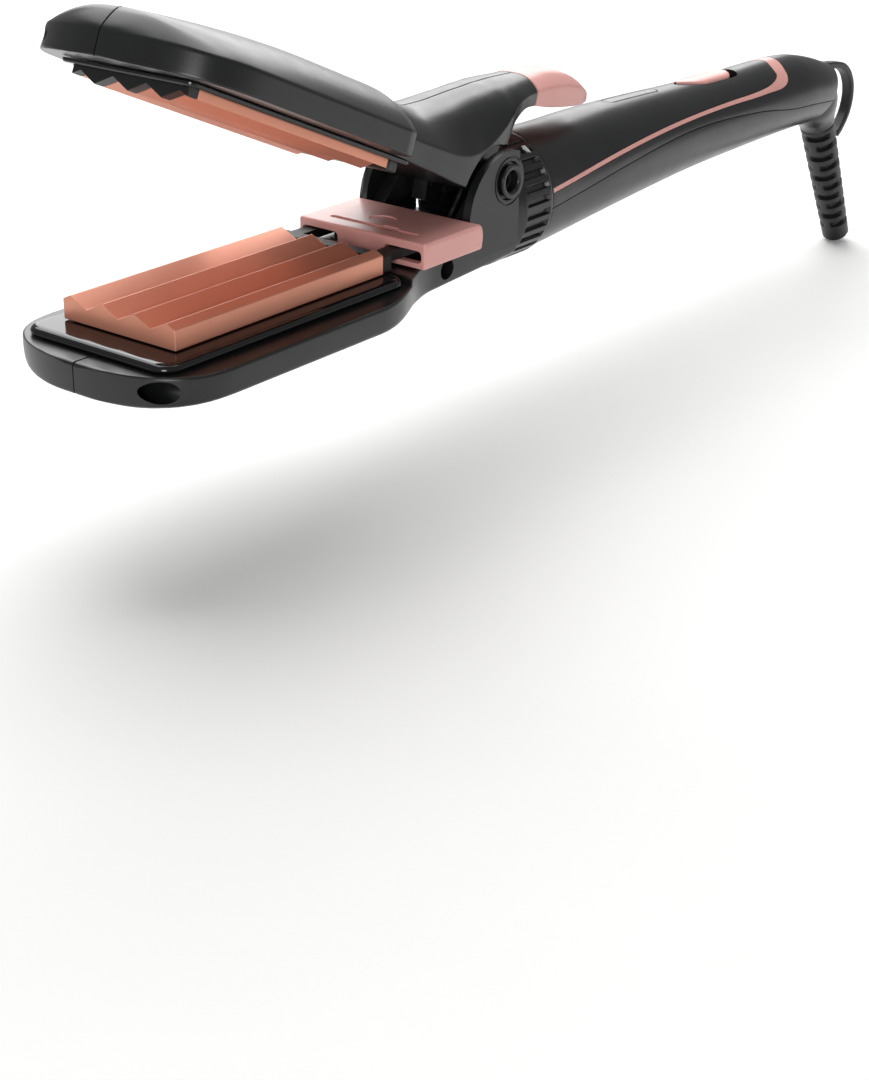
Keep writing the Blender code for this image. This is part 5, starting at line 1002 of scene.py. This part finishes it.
def pill_half(share, length, half):
    """Half width of a slot with round ends."""
    from_end = np.minimum(share, 1 - share) * length / half
    return half * np.sqrt(np.clip(1 - np.clip(1 - from_end, 0, 1) ** 2, 0, 1))


def handle():
    """Shells, stripe, window, slider and its cover."""
    upper = handle_shell("handle_top_shell", True)
    lower = handle_shell("handle_bottom_shell", False)
    low, high = mm_box("power_switch")
    leaf_start = HANDLE_X + 0.51 * HANDLE_LENGTH
    leaf_stop = leaf_start + 28
    window_low, window_high = mm_box("indicator_window")
    floor = AXIS_Z + 6.2
    carve(upper, stripe_band("groove", 0.18, 1.1, -1.0, 2), folded=True)
    carve(upper, build("slot", leaf_block(leaf_start - 1.6, leaf_stop + 4.5, 4.6, floor, 4.0, 0.01)))
    pane_slot = leaf_block(window_low[0] - GAP, window_high[0] + GAP, 2.3, floor, 4.0, 0.01, pill_half)
    carve(upper, build("pane_slot", pane_slot))
    bosses = []
    bore, wall, shank = 2.72, 3.8, 1.4
    for share in (0.171, 0.859):
        x = HANDLE_X + share * HANDLE_LENGTH
        centre, radius = (float(v[0]) for v in handle_size(x))
        foot = centre - radius
        carve(lower, build("pit", lathe([(foot - 2, 3.1), (foot + 0.2, 2.75), (foot + 4.2, 2.7)], (x, 0, 0),
                                        (0, 0, 1), 40, False)))
        joint = centre + radius * math.sin(math.radians(float(parting(x)[0])))
        tube = [(foot + 1.2, bore), (foot + 1.2, wall), (joint - 0.2, wall), (joint - 0.2, shank),
                (foot + 4.2, shank), (foot + 4.2, bore)]
        bosses.append(build("boss", lathe(tube, (x, 0, 0), (0, 0, 1), 40)))
    join(lower, *bosses)
    dress(upper, "satin_black", "main_body", "handle_upper_shell")
    dress(lower, "satin_black", "main_body", "handle_lower_shell")
    dress(stripe_band("rose_stripe", 0.0, 0.8, -0.02, 7), "rose_plastic", "main_body", "stripe_inlay")
    pane = leaf_block(window_low[0], window_high[0], 2.0, window_low[2], 0.0, 0.25, pill_half)
    dress(build("smoked_pane", pane), "clear_window", "main_body", "indicator_window")
    slider = leaf_block(leaf_start, leaf_stop, 4.3, low[2] + 3.9, 0.6, 0.6)
    dress(build("leaf_slider", slider), "rose_plastic", "switch_slider", "power_switch")
    cover_top = float(sum(handle_size(leaf_stop + 4.5))[0]) - SHELL - 1.9
    cover = slab(low[0], high[0], 5.4, cover_top - 1.2, cover_top, 0.8, 0.2)
    dress(build("slider_cover", cover), "satin_black", "switch_slider", "power_switch")


# ---------------------------------------------------------------- cord swivel

def elbow():
    """Bent elbow from the handle's tail to the boot: a round section whose radius falls along an arc
    14 mm long that bends from one tilt to the other, with a bore through it, and its stalk."""
    start, stop = SWIVEL_TILT, BOOT_TILT
    steps, length, bore = 36, 14.0, 2.9
    tilt = start + (stop - start) * (np.arange(steps) + 0.5) / steps
    ahead = np.column_stack([np.cos(tilt), 0 * tilt, -np.sin(tilt)])
    axis = np.array([math.cos(start), 0, -math.sin(start)])
    first = np.array([SWIVEL_X, 0, SWIVEL_Z]) + axis * GAP
    path = np.concatenate([[first], first + np.cumsum(ahead, axis=0) * length / steps])
    heading = np.concatenate([[start], (tilt[:-1] + tilt[1:]) / 2, [stop]])
    big = float(handle_size(SWIVEL_X)[1][0]) - 0.8
    shares = curve_through(list(enumerate((0, 0.03, 0.14, 0.36, 0.62, 0.86, 1))),
                           np.linspace(0, 6, len(path)))[:, 1]
    radius = big + (6.1 - big) * shares
    lip = np.minimum(np.arange(len(path)) * length / steps, 0.5)
    radius = radius - (0.5 - np.sqrt(np.clip(0.25 - (0.5 - lip) ** 2, 0, 1)))
    angle = np.linspace(0, 2 * np.pi, 64, endpoint=False)
    up = np.column_stack([np.sin(heading), 0 * heading, np.cos(heading)])
    out = np.cos(angle)[None, :, None] * np.array([0, 1.0, 0]) + np.sin(angle)[None, :, None] * up[:, None, :]
    outer = path[:, None, :] + out * radius[:, None, None]
    inner = path[:, None, :] + out * bore
    stem, flange = 4.6, 6.2
    stalk = [(-12.2, bore), (-12.2, stem), (-8.2, stem), (-8.2, flange), (-6.6, flange), (-6.6, stem),
             (1.2, stem), (1.2, bore)]
    piece = build("tail_elbow", (np.concatenate([outer, inner[::-1]]), True),
                  lathe(stalk, (SWIVEL_X, 0, SWIVEL_Z), axis, 32))
    dress(piece, "satin_black", "cord_swivel", "swivel_elbow")
    return path[-1]


def boot(top):
    """Strain relief: a taper from 6.0 to 4.7 mm whose rows of slots are open nearly half way round on each
    side, turned a quarter from row to row, so that the rubber between them can bend."""
    length, count, front, rear = 50.0, 10, 6.0, 4.7
    axis = np.array([math.cos(BOOT_TILT), 0, -math.sin(BOOT_TILT)])
    pitch = (length - 6.0) / count
    s = np.concatenate([[0.0, 0.15, 0.5], np.linspace(0.9, length - 1.2, 300),
                        [length - 0.6, length - 0.2, length]])
    angle = np.linspace(0, 2 * np.pi, 96, endpoint=False)
    row = np.floor((s - 1.6) / pitch)
    phase = ((s - 1.6) / pitch - row)[:, None]
    slot = np.clip((0.27 - np.abs(phase - 0.3)) / 0.09, 0, 1) * ((row >= 0) & (row < count))[:, None]
    turn = angle[None, :] + (row[:, None] % 2) * np.pi / 2
    opening = np.clip((np.abs(np.cos(turn)) - 0.25) / 0.12, 0, 1)
    edge = np.clip(0.5 - np.minimum(s, length - s), 0, 0.5)[:, None] * 0.7
    radius = front + (rear - front) * (s / length)[:, None] - 1.5 * slot * opening - edge
    up = np.array([math.sin(BOOT_TILT), 0, math.cos(BOOT_TILT)])
    out = np.cos(angle)[:, None] * up + np.sin(angle)[:, None] * np.array([0, 1.0, 0])
    origin = top + axis * GAP
    outer = origin + s[:, None, None] * axis + radius[..., None] * out
    bore = np.stack([origin + place * axis + 2.7 * out for place in (length, 0.0)])
    dress(build("slotted_boot", (np.concatenate([outer, bore]), True)), "black_rubber", "cord_swivel",
          "strain_relief_boot", crease=50)


def hanging_loop():
    """Flat moulded strap: a rounded rectangle carried along a smooth line behind the elbow."""
    line = refined([(11.0, 8.2), (17.0, 7.6), (23.0, 6.2), (27.6, 3.0), (30.2, -1.5), (30.6, -6.5),
                    (28.8, -11.4), (25.0, -15.6), (22.4, -17.4)], 8)
    ahead = np.gradient(line, axis=0)
    ahead /= np.linalg.norm(ahead, axis=1, keepdims=True)
    out = np.column_stack([-ahead[:, 1], ahead[:, 0]])
    ring = rounded([(1.2, -2.0), (1.2, 2.0), (-1.2, 2.0), (-1.2, -2.0)], 0.8, 5)
    x = SWIVEL_X + line[:, :1] + out[:, :1] * ring[:, 0]
    z = SWIVEL_Z + line[:, 1:] + out[:, 1:] * ring[:, 0]
    grid = np.stack([x, np.broadcast_to(ring[:, 1], x.shape), z], axis=-1)
    dress(build("moulded_hanging_loop", (grid, False)), "black_rubber", "cord_swivel", "hanging_loop")


# ---------------------------------------------------------------- everything together

KEPT = {          # CAD nodes that stay as they are, by finish
    "satin_black": ("neck_spigot", "swivel_socket", "switch_body"),
    "steel": ("click_leaf", "closing_spring", "insert_screw_far", "insert_screw_near",
              "lower_heater_leaf", "spigot_screw_far", "spigot_screw_near", "upper_heater_leaf"),
    "black_steel": ("handle_screw_front", "handle_screw_rear", "hinge_pin", "insert_carrier", "lock_bolt",
                    "neck_screw", "nose_screw", "upper_arm_screw", "upper_nose_screw"),
    "brass": ("slip_ring_line", "slip_ring_neutral"),
    "ceramic": ("lower_heater", "upper_heater"),
    "board_green": ("circuit_board",),
    "led_white": ("heat_led", "status_led"),
    "lead_sleeve": ("heater_lead",),
}


def dress_kept():
    """Give the kept CAD nodes their detailed finishes."""
    for finish, names in KEPT.items():
        for name in names:
            slots = frame["nodes"][name].data.materials
            slots.clear()
            slots.append(FINISHES[finish])


def studio():
    """Pale floor, an even pale surrounding, and soft boxes above and behind the tool."""
    level = CAD_BOX[0][2] - 0.0002
    mesh = bpy.data.meshes.new("studio_floor")
    mesh.from_pydata([(-6, -6, level), (6, -6, level), (6, 6, level), (-6, 6, level)], [], [(0, 1, 2, 3)])
    mesh.materials.append(FINISHES["floor"])
    floor = bpy.data.objects.new("studio_floor", mesh)
    bpy.context.scene.collection.objects.link(floor)
    world = bpy.data.worlds.new("studio")
    world.use_nodes = True
    background = world.node_tree.nodes["Background"]
    background.inputs["Color"].default_value = (1, 1, 1, 1)
    background.inputs["Strength"].default_value = 0.28
    bpy.context.scene.world = world
    aim = (0.09, 0.0, 0.0)
    soft_light("overhead", (0.4, 0.4, 1.05), aim, 1.3, 16.0)
    soft_light("behind", (0.9, 0.75, 0.55), aim, 0.9, 7.0)
    soft_light("near_left", (-0.9, -0.6, 0.25), aim, 0.4, 4.5)
    bpy.context.scene.view_settings.view_transform = "Standard"


make_camera()
studio()
lower_jaw()
upper_jaw()
insert_plate()
latch_bar()
posts()
bushes()
lock_ring()
handle()
boot(elbow())
hanging_loop()
dress_kept()
